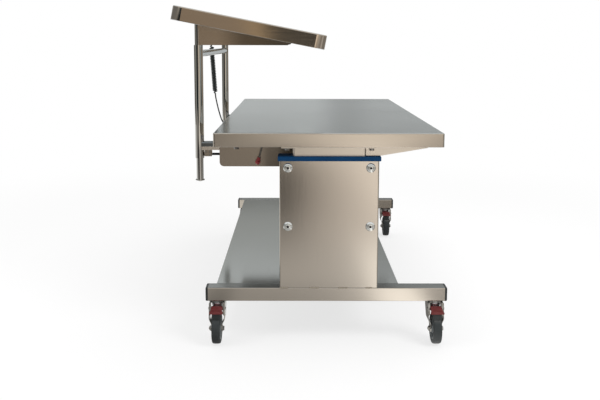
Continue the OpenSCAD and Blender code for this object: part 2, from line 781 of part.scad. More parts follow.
// The cord: straight out of the upper gland, curls about a leaning axis, then a tail by hand
coil_top = [-487, cord_y, 1003];
coil_end = [-472, cord_y, 782];
tail = [
    [-470.8, cord_y, 771], [-468.5, cord_y, 757], [-464, cord_y, 735], [-458, cord_y, 710],
    [-452, cord_y, 688], [-446, cord_y, 669], [-439, cord_y, 655], [-430, cord_y, 645.5],
    [-419, cord_y, 641], [-408, cord_y, gland_z]
];
coil_turns = curls + 1;
coil_steps = 8;
coil_lead = 14;
coil_span = norm(coil_end - coil_top);
coil_pitch = (coil_span - 2 * coil_lead) / (coil_turns - 2);
// Distance along the coil's axis at turn t: the first and the last turn are drawn out
function climb(t) = t < 1 ? coil_lead * t
    : t > coil_turns - 1 ? coil_span - coil_lead * (coil_turns - t)
    : coil_lead + coil_pitch * (t - 1);
// Share of the curls' radius at turn t: it grows over the first turn and shrinks over the last
function swell(t) = min(1, t, coil_turns - t);
function coil_point(t) =
    let (along = climb(t) / coil_span, r = (coil_d - cord_d) / 2 * swell(t))
    coil_top + (coil_end - coil_top) * along + [r * cos(360 * t), r * sin(360 * t), 0];
cord_path = concat(
    [[top_gland_x, cord_y, top_exit_z], [top_gland_x, cord_y, top_exit_z - cord_d],
     [top_gland_x + 0.6, cord_y, 1030], [top_gland_x + 1.6, cord_y, 1014]],
    [for (i = [0:coil_steps * coil_turns]) coil_point(i / coil_steps)],
    tail,
    [[box_x - gland_l - cord_d, cord_y, gland_z], [box_x - gland_l, cord_y, gland_z]]
);
function unit(v) = v / norm(v);
function heading(p, i) = unit(p[min(i + 1, len(p) - 1)] - p[max(i - 1, 0)]);
function across(v, h) = unit(v - (v * h) * h);
// Rings of a tube along p, carried from point to point so that they never twist
function sides_along(p) = [
    for (i = 0, v = across([0, 1, 0], heading(p, 0)); i < len(p);
         i = i + 1, v = across(v, heading(p, min(i, len(p) - 1)))) v
];
module tube_along(p, r, sides) {
    side = sides_along(p);
    points = [for (i = [0:len(p) - 1], k = [0:sides - 1])
        p[i] + r * (cos(360 * k / sides) * side[i] + sin(360 * k / sides) * cross(heading(p, i), side[i]))];
    last = (len(p) - 1) * sides;
    faces = concat(
        [[for (k = [sides - 1:-1:0]) k]],
        [for (i = [0:len(p) - 2], k = [0:sides - 1]) let (a = i * sides + k, b = i * sides + (k + 1) % sides)
            each [[a, b, b + sides], [a, b + sides, a + sides]]],
        [[for (k = [0:sides - 1]) last + k]]
    );
    polyhedron(points, [for (f = faces) [for (k = [len(f) - 1:-1:0]) f[k]]]);
}
// Length of the cord up to each of its points
cord_run = [for (i = 0, l = 0, end = len(cord_path) - 1; i <= end;
    l = l + norm(cord_path[min(i + 1, end)] - cord_path[i]), i = i + 1) l];
// Least distance between points further apart along the cord than a few diameters, less one diameter
least_gap = min([for (i = [0:len(cord_path) - 2], j = [i + 1:len(cord_path) - 1])
    if (cord_run[j] - cord_run[i] > 2.5 * cord_d) norm(cord_path[i] - cord_path[j])]) - cord_d;
cord_length = cord_run[len(cord_run) - 1];
echo(least_gap = least_gap, cord_length = cord_length);
module coil_cord() color(black) at_table() tube_along(cord_path, cord_d / 2, 6);

// Casters, drawn round their swivel axis with the wheel trailing to the near side
crown_lead = 24;
crown_trail = 20;
leg_trail = 32;
leg_sweep = 4;
leg_knee = 30;
leg_shoulder = 20;
eye_r = 13;
// Heights above the axle between which the legs draw in
draw_low = 12;
draw_high = 36;
// The legs' trailing edges are turned inwards as far as this, down to this height above the axle
flange_in = pedal_w / 2 + 2 * passing;
flange_low = 44;
axle_nut_t = 6;
axle_nut_d = 17;
module leg_outline() {
    polygon([
        [-leg_trail, crown_top], [crown_lead, crown_top], [crown_lead, crown_top - leg_shoulder],
        [-trail + eye_r * cos(35), axle_z - eye_r * sin(35)],
        [-trail - eye_r * cos(20), axle_z + eye_r * sin(20)],
        [-leg_trail - leg_sweep, crown_top - leg_knee]
    ]);
    translate([-trail, axle_z]) circle(eye_r);
}
module leg() {
    reach = trail + eye_r + over;
    top = fork_w / 2 - leg_t;
    intersection() {
        along_x(0, fork_w) leg_outline();
        upright(-reach, reach + crown_lead + over) polygon([
            [top, crown_top + over], [top + leg_t, crown_top + over], [top + leg_t, axle_z + draw_high],
            [leg_in + leg_t, axle_z + draw_low], [leg_in + leg_t, 0],
            [leg_in, 0], [leg_in, axle_z + draw_low], [top, axle_z + draw_high]
        ]);
    }
    along_x(flange_in, top + leg_t / 2 - flange_in) intersection() {
        difference() {
            leg_outline();
            translate([leg_t, 0]) leg_outline();
        }
        translate([-reach, axle_z + flange_low]) square([reach, crown_top - axle_z - flange_low]);
    }
}
module fork() {
    difference() {
        union() {
            translate([-fork_w / 2, -crown_trail, crown_top - crown_t])
                cube([fork_w, crown_trail + crown_lead, crown_t]);
            translate([0, 0, crown_top - crown_t - boss_h])
                cylinder(r1 = boss_r - boss_taper, r2 = boss_r, h = boss_h);
            leg();
            mirror([1, 0, 0]) leg();
        }
        translate([0, 0, crown_top - crown_t - boss_h - over])
            cylinder(r = kingpin_r + running, h = crown_t + boss_h + 2 * over);
        translate([-fork_w / 2, -trail, axle_z]) rotate([0, 90, 0]) cylinder(r = axle_r, h = fork_w);
        translate([-fork_w / 2 - over, pivot_y, pivot_z]) rotate([0, 90, 0])
            cylinder(r = pivot_r, h = fork_w + 2 * over);
    }
    translate([0, -trail, axle_z]) {
        end = leg_in + leg_t;
        translate([-end - axle_nut_t + over, 0, 0]) rotate([0, 90, 0])
            cylinder(r = axle_r, h = 2 * (end + axle_nut_t - over));
        for (s = [-1, 1]) translate([s * (end + axle_nut_t / 2), 0, 0]) rotate([0, 90, 0])
            cylinder(d = axle_nut_d, h = axle_nut_t, $fn = 6, center = true);
    }
    translate([-fork_w / 2, pivot_y, pivot_z]) rotate([0, 90, 0]) cylinder(r = pivot_r, h = fork_w);
}
module about_axle() translate([0, -trail, axle_z]) rotate([0, 90, 0]) children();
// The hub: its barrel runs between the legs and its web is drawn in on both sides
barrel_r = 12;
web_in = 3;
module hub() about_axle() rotate_extrude() polygon([
    [axle_r + running, -hub_half], [barrel_r, -hub_half], [barrel_r + 2, web_in - hub_half],
    [hub_r, web_in - hub_half], [hub_r, hub_half - web_in], [barrel_r + 2, hub_half - web_in],
    [barrel_r, hub_half], [axle_r + running, hub_half]
]);
tread_t = 6;
tread_r = 4.5;
module tyre() about_axle() rotate_extrude() {
    translate([hub_r, -tyre_w / 2]) square([wheel_r - hub_r - tread_t, tyre_w]);
    translate([wheel_r - tread_t, 0]) rounded(2 * tread_t, tyre_w, tread_r);
}
// The pedal, pressed: its tread and lip, two ears on the pivot and the shoe that stands over the tyre.
// These outlines are in Y and Z from the pivot.
module tread_outline() polygon([
    [1, 7], [-2, 9], [-8, 9.5], [-22, 6], [-35, 1.5], [-45, -3], [-48.5, -5.5], [-49, -8],
    [-46.5, -8.5], [-43, -6.5], [-33, -2.5], [-21, 2], [-9, 5.5], [-3, 5], [0, 4]
]);
ear_r = 6.5;
ear_t = 4;
module ear_outline() difference() {
    union() {
        circle(ear_r);
        polygon([[-6, -1], [5, 3], [1, 6], [-8, 8], [-33, 0], [-33, -2]]);
    }
    circle(pivot_r + running);
}
shoe_back = 25;
shoe_front = 45;
module shoe_outline() difference() {
    polygon([
        [-shoe_back, 2.5], [-shoe_front, -5], [-shoe_front, axle_z - pivot_z], [-shoe_back, axle_z - pivot_z]
    ]);
    translate([-trail - pivot_y, axle_z - pivot_z]) circle(wheel_r + shoe_gap);
}
lip_from = 31;
module pedal() translate([0, pivot_y, pivot_z]) {
    along_x(-pedal_w / 2, pedal_w) tread_outline();
    along_x(-pedal_lip_w / 2, pedal_lip_w) intersection() {
        tread_outline();
        translate([-2 * lip_from, -lip_from]) square([lip_from, 2 * lip_from]);
    }
    for (x = [-pedal_w / 2, pedal_w / 2 - ear_t]) along_x(x, ear_t) ear_outline();
    along_x(-shoe_w / 2, shoe_w) shoe_outline();
}
module caster_at(side, s) at_table() translate([base_x + s * caster_x, side * rail_y, 0]) children();

module near_back_fork() color(polished) caster_at(-1, -1) fork();
module near_back_hub() color(core_grey) caster_at(-1, -1) hub();
module near_back_tyre() color(tyre_grey) caster_at(-1, -1) tyre();
module near_back_pedal() color(red) caster_at(-1, -1) pedal();
module near_front_fork() color(polished) caster_at(-1, 1) fork();
module near_front_hub() color(core_grey) caster_at(-1, 1) hub();
module near_front_tyre() color(tyre_grey) caster_at(-1, 1) tyre();
module near_front_pedal() color(red) caster_at(-1, 1) pedal();
module far_back_fork() color(polished) caster_at(1, -1) fork();
module far_back_hub() color(core_grey) caster_at(1, -1) hub();
module far_back_tyre() color(tyre_grey) caster_at(1, -1) tyre();
module far_back_pedal() color(red) caster_at(1, -1) pedal();
module far_front_fork() color(polished) caster_at(1, 1) fork();
module far_front_hub() color(core_grey) caster_at(1, 1) hub();
module far_front_tyre() color(tyre_grey) caster_at(1, 1) tyre();
module far_front_pedal() color(red) caster_at(1, 1) pedal();

base_rail_near();
base_rail_far();
rail_end_caps();
base_stretchers();
lower_shelf();
column_shroud_near();
column_shroud_far();
column_collars();
column_screws();
column_foot_plates();
lift_actuators();
caster_stems();
tabletop();
tabletop_channels();
tabletop_underside();
inner_column_near();
inner_column_far();
actuator_rods();
column_heads();
cross_plate_near();
cross_plate_far();
under_table_stringers();
table_bolts();
post_sleeve_near();
post_sleeve_far();
post_arms();
sleeve_bushes();
cross_bar();
control_box();
lower_cord_gland();
upper_tray();
upper_tray_channels();
upper_tray_underside();
tier_bracket_near();
tier_bracket_far();
inner_post_near();
inner_post_far();
post_feet();
upper_cord_gland();
coil_cord();
release_lever();
lever_knob();
latch_near();
latch_far();
near_back_fork();
near_back_hub();
near_back_tyre();
near_back_pedal();
near_front_fork();
near_front_hub();
near_front_tyre();
near_front_pedal();
far_back_fork();
far_back_hub();
far_back_tyre();
far_back_pedal();
far_front_fork();
far_front_hub();
far_front_tyre();
far_front_pedal();
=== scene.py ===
"""The looks of a two-tier instrument table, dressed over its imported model."""
import json
import math

import bmesh
import bpy
from mathutils import Matrix, Vector

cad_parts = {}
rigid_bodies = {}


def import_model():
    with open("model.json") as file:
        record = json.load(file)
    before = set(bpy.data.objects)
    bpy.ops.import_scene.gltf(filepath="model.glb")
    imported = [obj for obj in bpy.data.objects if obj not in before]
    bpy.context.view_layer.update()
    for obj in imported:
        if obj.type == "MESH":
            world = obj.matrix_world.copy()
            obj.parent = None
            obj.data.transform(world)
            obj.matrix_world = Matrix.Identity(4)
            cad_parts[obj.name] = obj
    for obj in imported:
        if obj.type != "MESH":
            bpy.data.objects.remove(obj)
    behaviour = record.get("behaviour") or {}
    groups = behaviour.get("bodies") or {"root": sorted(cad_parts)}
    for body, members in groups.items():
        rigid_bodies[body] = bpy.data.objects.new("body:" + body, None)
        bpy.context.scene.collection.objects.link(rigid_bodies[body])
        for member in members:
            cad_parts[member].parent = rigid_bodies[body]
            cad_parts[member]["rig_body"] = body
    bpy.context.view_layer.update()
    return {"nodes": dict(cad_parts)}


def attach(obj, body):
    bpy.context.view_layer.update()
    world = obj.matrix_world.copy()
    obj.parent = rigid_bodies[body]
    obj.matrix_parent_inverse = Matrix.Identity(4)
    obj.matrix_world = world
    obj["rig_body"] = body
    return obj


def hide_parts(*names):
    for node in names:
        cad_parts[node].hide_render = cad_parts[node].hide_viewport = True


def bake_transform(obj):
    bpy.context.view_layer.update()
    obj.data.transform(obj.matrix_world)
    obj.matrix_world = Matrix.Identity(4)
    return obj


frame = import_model()

# Shapes are written in millimetres about the middle of the tabletop, with the floor at z = 0.
TABLE_X, TABLE_Y = 56, 23
TO_FRAME = Matrix.Translation((TABLE_X / 1000, TABLE_Y / 1000, 0)) @ Matrix.Scale(0.001, 4)


def spot(x, y, z):
    """A place in the table's millimetres, as a place in the frame."""
    return TO_FRAME @ Vector((x, y, z))


# Camera, fitted to points of the photograph
CAMERA_AT, PITCH, YAW, ROLL = (-107.9, -3218.6, 1012.64), 7.0011, 0.3005, 0.1337
SENSOR_WIDTH, LENS, SHIFT_Y = 36, 45.263, -0.1079
scene = bpy.context.scene
camera = bpy.data.objects.new("camera", bpy.data.cameras.new("camera"))
scene.collection.objects.link(camera)
camera.data.sensor_width, camera.data.lens, camera.data.shift_y = SENSOR_WIDTH, LENS, SHIFT_Y
camera.data.clip_start, camera.data.clip_end = 0.05, 60
camera.matrix_world = (
    Matrix.Translation(spot(*CAMERA_AT))
    @ Matrix.Rotation(math.radians(-YAW), 4, "Z")
    @ Matrix.Rotation(math.radians(90 - PITCH), 4, "X")
    @ Matrix.Rotation(math.radians(ROLL), 4, "Z")
)
scene.camera = camera
scene.view_settings.view_transform = "Standard"


# Shader maths
class Wire:
    """A socket's output, on which Python's operators add Math nodes."""

    def __init__(self, tree, socket):
        self.tree, self.socket = tree, socket

    def math(self, operation, *others, first=None):
        node = self.tree.nodes.new("ShaderNodeMath")
        node.operation = operation
        values = (self, *others) if first is None else (first, self)
        for entry, value in zip(node.inputs, values):
            feed(self.tree, entry, value)
        return Wire(self.tree, node.outputs[0])

    def __add__(self, other):
        return self.math("ADD", other)

    def __mul__(self, other):
        return self.math("MULTIPLY", other)

    def __sub__(self, other):
        return self.math("SUBTRACT", other)

    def __rsub__(self, other):
        return self.math("SUBTRACT", first=other)

    def __truediv__(self, other):
        return self.math("DIVIDE", other)

    def __pow__(self, other):
        return self.math("POWER", other)

    def size(self):
        return self.math("ABSOLUTE")

    def ramp(self, low, high):
        """0 below low, 1 above high, smooth between."""
        node = self.tree.nodes.new("ShaderNodeMapRange")
        node.interpolation_type = "SMOOTHSTEP"
        for name, value in (("Value", self), ("From Min", low), ("From Max", high)):
            feed(self.tree, node.inputs[name], value)
        return Wire(self.tree, node.outputs[0])


def feed(tree, entry, value):
    if isinstance(value, Wire):
        tree.links.new(value.socket, entry)
    elif entry.type == "RGBA" and len(value) == 3:
        entry.default_value = (*value, 1)
    else:
        entry.default_value = value


class Finish:
    """A material: its Principled shader and the nodes that feed it."""

    def __init__(self, name, **sockets):
        self.material = bpy.data.materials.new(name)
        self.material.use_nodes = True
        self.tree = self.material.node_tree
        self.shader = self.tree.nodes["Principled BSDF"]
        self.set(**sockets)

    def set(self, **sockets):
        for name, value in sockets.items():
            feed(self.tree, self.shader.inputs[name.replace("_", " ")], value)

    def node(self, kind, sockets, out=0, **settings):
        node = self.tree.nodes.new("ShaderNode" + kind)
        for name, value in settings.items():
            setattr(node, name, value)
        for name, value in sockets.items():
            feed(self.tree, node.inputs[name], value)
        return Wire(self.tree, node.outputs[out])

    def place(self):
        return self.node("TexCoord", {}, out="Object")

    def facing(self, axis):
        """How squarely the surface faces along an axis of the piece, 0 to 1."""
        return self.node("SeparateXYZ", {0: self.node("TexCoord", {}, out="Normal")}, out=axis).size()

    def noise(self, scale, stretch=(1, 1, 1), detail=3, roughness=0.55, shift=(0, 0, 0)):
        """Noise of about scale cells a metre, drawn out by stretch."""
        vector = self.node("Mapping", {"Vector": self.place(), "Location": shift, "Scale": stretch})
        sockets = {"Vector": vector, "Scale": scale, "Detail": detail, "Roughness": roughness}
        return self.node("TexNoise", sockets)

    def mix(self, share, first, second):
        return self.node("Mix", {0: share, 6: first, 7: second}, out=2, data_type="RGBA")

    def bump(self, height, depth_mm, strength=1.0):
        sockets = {"Strength": strength, "Distance": depth_mm / 1000, "Height": height}
        self.set(Normal=self.node("Bump", sockets))


def shade(colour, factor):
    return tuple(c * factor for c in colour)


WARM_STEEL = (0.60, 0.545, 0.475)
COOL_STEEL = (0.50, 0.525, 0.52)
BROWN_STEEL = (0.62, 0.54, 0.45)
PALE_STEEL = (0.84, 0.77, 0.68)
GRAIN_LONG, GRAIN_CROSS = 1.2, 60
# A near-black for painted shade, and the grey of real dust
PAINTED_SHADE_COLOUR, DUST = (0.03, 0.028, 0.025), (0.42, 0.41, 0.39)


def brushed_steel(name, colour, lines, end_lines=None, rough=0.3, painted_top_tone=None, painted_shade=None):
    """Brushed sheet: fine lines along an axis and faint clouds of polish.

    Faces that look along Y can carry lines of their own, as the ends of a folded pan do,
    and faces that look up can have another tone, painted light and shade for what those faces mirror.
    A painted shade is how far the sheet darkens, as shade under and between parts, between two
    places along the table's width."""
    f = Finish(name, Metallic=1.0)

    def grain(axis):
        stretch = [GRAIN_CROSS] * 3
        stretch["XYZ".index(axis)] = GRAIN_LONG
        return f.noise(7, stretch, detail=4, roughness=0.7)

    lines_now = grain(lines)
    if end_lines:
        ends = f.facing("Y").ramp(0.6, 0.8)
        lines_now = grain(end_lines) * ends + lines_now * (1 - ends)
    cloud = f.noise(3.5, detail=1, roughness=0.4)
    tone = (lines_now - 0.5) * 0.2 + (cloud - 0.5) * 0.14 + 0.5
    steel = f.mix(tone, shade(colour, 0.72), shade(colour, 1.28))
    # Painted light and shade: faces that look up take a tone of their own for what they mirror, not another
    # steel
    if painted_top_tone:
        lying = f.mix(tone, shade(painted_top_tone, 0.8), shade(painted_top_tone, 1.2))
        steel = f.mix(f.facing("Z").ramp(0.55, 0.85), steel, lying)
    # Painted shade: the sheet darkens towards one place across the table, for the shade under and between
    # parts
    if painted_shade:
        depth, start, end = painted_shade
        across = f.node("SeparateXYZ", {0: f.place()}, out="X") - TABLE_X / 1000
        steel = f.mix(across.ramp(start, end) * depth, steel, PAINTED_SHADE_COLOUR)
    f.set(Base_Color=steel, Roughness=(lines_now - 0.5) * 0.1 + (cloud - 0.5) * 0.05 + rough)
    f.bump(lines_now, 0.04, 0.25)
    return f.material


def polished(name, colour, rough=0.09, lines="Z"):
    """Polished tube: near mirror, with draw marks and finger marks."""
    f = Finish(name, Metallic=1.0)
    stretch = [40] * 3
    stretch["XYZ".index(lines)] = 0.8
    draw = f.noise(6, stretch, detail=3)
    marks = f.noise(22, detail=4, shift=(1, 9, 2)).ramp(0.5, 0.75)
    f.set(
        Base_Color=f.mix(draw, shade(colour, 0.84), shade(colour, 1.08)),
        Roughness=(draw - 0.5) * 0.05 + marks * 0.05 + rough,
    )
    return f.material


def moulded(name, colour, rough=0.45, grain=900, depth=0.04, coat=0.0, dust=0.0, specular=0.5):
    """Moulded plastic or rubber: a spark-eroded grain, uneven sheen and a little dust on what faces up."""
    f = Finish(name, Coat_Weight=coat, Specular_IOR_Level=specular)
    skin = f.noise(grain, detail=2)
    patch = f.noise(14, detail=4, shift=(5, 5, 1))
    body = f.mix(patch, shade(colour, 0.8), shade(colour, 1.2))
    if dust:
        lying = f.facing("Z").ramp(0.5, 1.0) * patch.ramp(0.4, 0.65) * dust
        body = f.mix(lying, body, DUST)
    f.set(Base_Color=body, Roughness=(patch - 0.5) * 0.2 + (skin - 0.5) * 0.1 + rough)
    f.bump(skin, depth, 0.5)
    return f.material


def powder_coat(name, colour, rough=0.42):
    """Powder coat: orange peel at millimetre scale."""
    f = Finish(name)
    peel = f.noise(420, detail=1)
    patch = f.noise(9, detail=3)
    f.set(
        Base_Color=f.mix(patch, shade(colour, 0.88), shade(colour, 1.12)),
        Roughness=(peel - 0.5) * 0.12 + rough,
    )
    f.bump(peel, 0.06, 0.6)
    return f.material


def zinc_plate(name):
    """Bright zinc: bluish, with darker passivation patches."""
    f = Finish(name, Metallic=1.0)
    patch = f.noise(60, detail=4)
    f.set(
        Base_Color=f.mix(patch.ramp(0.3, 0.75), (0.33, 0.325, 0.31), (0.52, 0.51, 0.48)),
        Roughness=patch * 0.18 + 0.16,
    )
    return f.material


def weld_metal(name):
    """Ground weld: straw and grey heat tint."""
    f = Finish(name, Metallic=1.0)
    tint = f.noise(90, detail=3)
    f.set(Base_Color=f.mix(tint, (0.34, 0.30, 0.26), (0.62, 0.55, 0.44)), Roughness=tint * 0.2 + 0.3)
    f.bump(f.noise(700, detail=2), 0.1, 0.5)
    return f.material


LOOKS = {
    # The tabletop's and tier's upward faces take the cool tone as painted light, for the light they mirror
    "top": brushed_steel("satin_top", WARM_STEEL, "Y", "X", rough=0.18, painted_top_tone=COOL_STEEL),
    "tier": brushed_steel("tier_steel", BROWN_STEEL, "Y", "X", rough=0.08, painted_top_tone=COOL_STEEL),
    # The brackets: a slightly darker steel, with painted shade that deepens towards their inner end
    "bracket": brushed_steel("bracket_steel", shade(BROWN_STEEL, 0.93), "X", rough=0.14,
                             painted_shade=(0.6, -0.4, -0.28)),
    # The rails' tops take a much darker cool tone: painted shade
    "rail": brushed_steel("rail_steel", WARM_STEEL, "X", rough=0.2, painted_top_tone=shade(COOL_STEEL, 0.46)),
    "column": brushed_steel("column_steel", WARM_STEEL, "Z", rough=0.15),
    "shelf": brushed_steel("shelf_steel", shade(COOL_STEEL, 0.76), "Y", rough=0.12),
    # Cross plates and channels: a darker copy of the brown steel, with painted shade deepening towards the
    # columns, both for the shade under the tabletop
    "plate": brushed_steel("plate_steel", shade(BROWN_STEEL, 0.76), "X", rough=0.22,
                           painted_shade=(0.5, -0.25, -0.2)),
    # A paler copy of the warm steel: painted light on the inner columns, their heads and the arm flats
    "pale": brushed_steel("pale_steel", PALE_STEEL, "X", rough=0.3),
    # The undersides get a paler steel than the sheets above: painted light, for the bright tabletop they
    # mirror
    "under": brushed_steel("underside_steel", (0.78, 0.79, 0.78), "Y", rough=0.4),
    "chrome": polished("post_chrome", (0.60, 0.59, 0.56), rough=0.04),
    "chrome_bar": polished("bar_chrome", (0.58, 0.61, 0.61), rough=0.14, lines="Y"),
    # A dark copy of the chrome: painted shade, for the dark reflections of the polished arms
    "arm": polished("arm_chrome", (0.24, 0.26, 0.27), rough=0.1, lines="X"),
    # A dark copy of polished steel: painted shade on the table bolts and on the release lever's rod
    "shaft": polished("shaft_steel", (0.24, 0.23, 0.22), rough=0.2, lines="Y"),
    "zinc": zinc_plate("caster_zinc"),
    "cup": polished("cup_chrome", (0.86, 0.87, 0.85), rough=0.1),
    # A much paler zinc than the fork's: painted light, lifting the race housings out of the rail's shade
    "bright": polished("bright_zinc", (0.90, 0.93, 0.95), rough=0.36),
    "weld": weld_metal("ground_weld"),
    "blue": moulded("blue_collar", (0.002, 0.036, 0.105), rough=0.5, grain=500, depth=0.03, specular=0.12),
    "rod": moulded("rod_paint", (0.003, 0.005, 0.005), rough=0.5, specular=0.08),
    "cap": moulded("black_cap", (0.02, 0.023, 0.023), rough=0.5),
    "gland": moulded("black_gland", (0.012, 0.012, 0.014), rough=0.42, grain=700),
    "cord": moulded("cord_skin", (0.009, 0.016, 0.015), rough=0.24, grain=1200, depth=0.02, coat=0.5),
    # Dark paint on the latches; on the screw sockets' floors the same dark is painted shade
    "dark": powder_coat("dark_paint", (0.016, 0.016, 0.018)),
    "grey": powder_coat("grey_paint", (0.24, 0.26, 0.29)),
    "red": moulded("red_moulding", (0.26, 0.018, 0.024), rough=0.3, grain=420, depth=0.03, coat=0.25),
    "pedal": moulded("pedal_moulding", (0.13, 0.02, 0.02), rough=0.55, grain=380, depth=0.05, dust=0.04,
                     specular=0.35),
    "tyre": moulded("tyre_rubber", (0.026, 0.031, 0.032), rough=0.62, grain=260, depth=0.08, dust=0.3),
    "core": moulded("wheel_core", (0.14, 0.155, 0.16), rough=0.5, grain=320, depth=0.05, dust=0.3),
    "bush": moulded("bush_plastic", (0.05, 0.05, 0.055), rough=0.5),
}


# Building and handing over a piece
def ring(width, length, corner, z, steps=6):
    """A rounded rectangle at height z, anticlockwise from above."""
    points = []
    for quarter, (sx, sy) in enumerate(((1, 1), (-1, 1), (-1, -1), (1, -1))):
        for step in range(steps + 1):
            a = math.pi / 2 * (quarter + step / steps)
            points.append(Vector((
                sx * (width / 2 - corner) + corner * math.cos(a),
                sy * (length / 2 - corner) + corner * math.sin(a), z)))
    return points


def circle(radius, z, steps=48):
    return [Vector((radius * math.cos(a), radius * math.sin(a), z))
            for a in (2 * math.pi * k / steps for k in range(steps))]


def turned(axis, degrees):
    return Matrix.Rotation(math.radians(degrees), 4, axis)


def shifted(x, y, z):
    return Matrix.Translation((x, y, z))


ALONG_X = turned("Y", 90)
ALONG_MINUS_X = turned("Y", -90)
# Vertices nearer to each other than this are one
SAME_MM = 1e-3


class Form:
    """One mesh under construction, in the table's millimetres."""

    def __init__(self):
        self.bm = bmesh.new()

    def loft(self, rings, at=Matrix(), wrap=False):
        """A closed skin over rings of equal length: capped at both ends, or joined end to end."""
        rows = [[self.bm.verts.new(at @ p) for p in points] for points in rings]
        size = len(rows[0])
        pairs = list(zip(rows, rows[1:])) + ([(rows[-1], rows[0])] if wrap else [])
        for low, high in pairs:
            for k in range(size):
                self.bm.faces.new((low[k], low[(k + 1) % size], high[(k + 1) % size], high[k]))
        if not wrap:
            self.bm.faces.new(rows[0][::-1])
            self.bm.faces.new(rows[-1])
        return self

    def lathe(self, profile, at=Matrix(), steps=48, wrap=False):
        """A turned shape about the z axis of at: profile is a list of (radius, height)."""
        return self.loft([circle(max(r, 1e-4), z, steps) for r, z in profile], at, wrap)

    def tube(self, path, radius, sides=12):
        """A round tube along points, its rings carried so that they never twist."""
        points = [Vector(p) for p in path]
        side = None
        rings = []
        for i, p in enumerate(points):
            ahead = (points[min(i + 1, len(points) - 1)] - points[max(i - 1, 0)]).normalized()
            side = side or ahead.orthogonal()
            side = (side - side.dot(ahead) * ahead).normalized()
            other = ahead.cross(side)
            rings.append([
                p + radius * (math.cos(a) * side + math.sin(a) * other)
                for a in (2 * math.pi * k / sides for k in range(sides))])
        return self.loft(rings)

    def mesh(self, name, to=TO_FRAME):
        bmesh.ops.remove_doubles(self.bm, verts=self.bm.verts, dist=SAME_MM)
        bmesh.ops.recalc_face_normals(self.bm, faces=self.bm.faces)
        self.bm.transform(to)
        mesh = bpy.data.meshes.new(name)
        self.bm.to_mesh(mesh)
        self.bm.free()
        return mesh


def settle(obj):
    """Turns what the modifiers make of a piece into its own mesh."""
    made = bpy.data.meshes.new_from_object(obj.evaluated_get(bpy.context.evaluated_depsgraph_get()))
    old, obj.data = obj.data, made
    obj.modifiers.clear()
    made.name = obj.name
    if old.users == 0:
        bpy.data.meshes.remove(old)


def soften(obj, bevel_mm, angle=32, segments=2):
    """Smooth shading, with edges sharper than angle rolled over by bevel_mm."""
    obj.data.polygons.foreach_set("use_smooth", [True] * len(obj.data.polygons))
    if bevel_mm:
        roll = obj.modifiers.new("edges", "BEVEL")
        roll.width = bevel_mm / 1000
        roll.segments = segments
        roll.limit_method = "ANGLE"
        roll.angle_limit = math.radians(angle)
    else:
        obj.data.set_sharp_from_angle(angle=math.radians(angle))
    obj.modifiers.new("flats", "WEIGHTED_NORMAL").keep_sharp = True
    settle(obj)


def add_object(name, mesh):
    obj = bpy.data.objects.new(name, mesh)
    scene.collection.objects.link(obj)
    return obj


def hand_over(obj, body, look, nodes=()):
    obj.data.materials.clear()
    obj.data.materials.append(LOOKS[look])
    if nodes:
        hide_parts(*nodes)
    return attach(obj, body)


def piece(form, name, body, look, nodes=(), bevel=0.0, angle=32, segments=2):
    obj = add_object(name, form.mesh(name))
    soften(obj, bevel, angle, segments)
    return hand_over(obj, body, look, nodes)


def dress(node, look, bevel=0.5, angle=32):
    """A copy of a CAD node with joined faces, rolled edges and its finish."""
    source = frame["nodes"][node]
    bm = bmesh.new()
    bm.from_mesh(source.data)
    bmesh.ops.remove_doubles(bm, verts=bm.verts, dist=2e-6)
    bmesh.ops.dissolve_limit(bm, angle_limit=math.radians(0.4), verts=bm.verts, edges=bm.edges)
    mesh = bpy.data.meshes.new(node + "_dressed")
    bm.to_mesh(mesh)
    bm.free()
    obj = add_object(mesh.name, mesh)
    soften(obj, bevel, angle)
    return hand_over(obj, source["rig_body"], look, [node])


# The coiled cord, on the route of its solid
CORD_R, CURL_R = 3.0, 8.0
CORD_Y, CURLS = 180, 28
COIL_TOP, COIL_END = Vector((-487, CORD_Y, 1003)), Vector((-472, CORD_Y, 782))
LEAD = 14
TURNS = CURLS + 1
COIL_SPAN = (COIL_END - COIL_TOP).length
COIL_PITCH = (COIL_SPAN - 2 * LEAD) / (TURNS - 2)
CORD_STEPS = 20
TAIL = [(-470.8, 771), (-468.5, 757), (-464, 735), (-458, 710), (-452, 688), (-446, 669), (-439, 655),
        (-430, 645.5), (-419, 641), (-408, 640), (-399, 640), (-393, 640)]


def coil_point(t):
    if t < 1:
        climb = LEAD * t
    elif t > TURNS - 1:
        climb = COIL_SPAN - LEAD * (TURNS - t)
    else:
        climb = LEAD + COIL_PITCH * (t - 1)
    r = CURL_R * min(1, t, TURNS - t)
    a = 2 * math.pi * t
    return COIL_TOP.lerp(COIL_END, climb / COIL_SPAN) + Vector((r * math.cos(a), r * math.sin(a), 0))


TOP_EXIT = Vector((-490, CORD_Y, 1049.557))
cord_line = [TOP_EXIT, TOP_EXIT - Vector((0, 0, 6))]
cord_line += [Vector((x, CORD_Y, z)) for x, z in ((-489.4, 1030), (-488.4, 1014))]
cord_line += [coil_point(k / CORD_STEPS) for k in range(CORD_STEPS * TURNS + 1)]
cord_line += [Vector((x, CORD_Y, z)) for x, z in TAIL]
CORD_LENGTH = sum((b - a).length for a, b in zip(cord_line, cord_line[1:])) / 1000

cord_object = add_object("coil_cord_skin", Form().tube(cord_line, CORD_R, 12).mesh("coil_cord_skin"))
soften(cord_object, 0, 60)
cord_object.data.materials.append(LOOKS["cord"])
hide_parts("coil_cord")
[TO_FRAME @ p for p in cord_line]
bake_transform(cord_object)


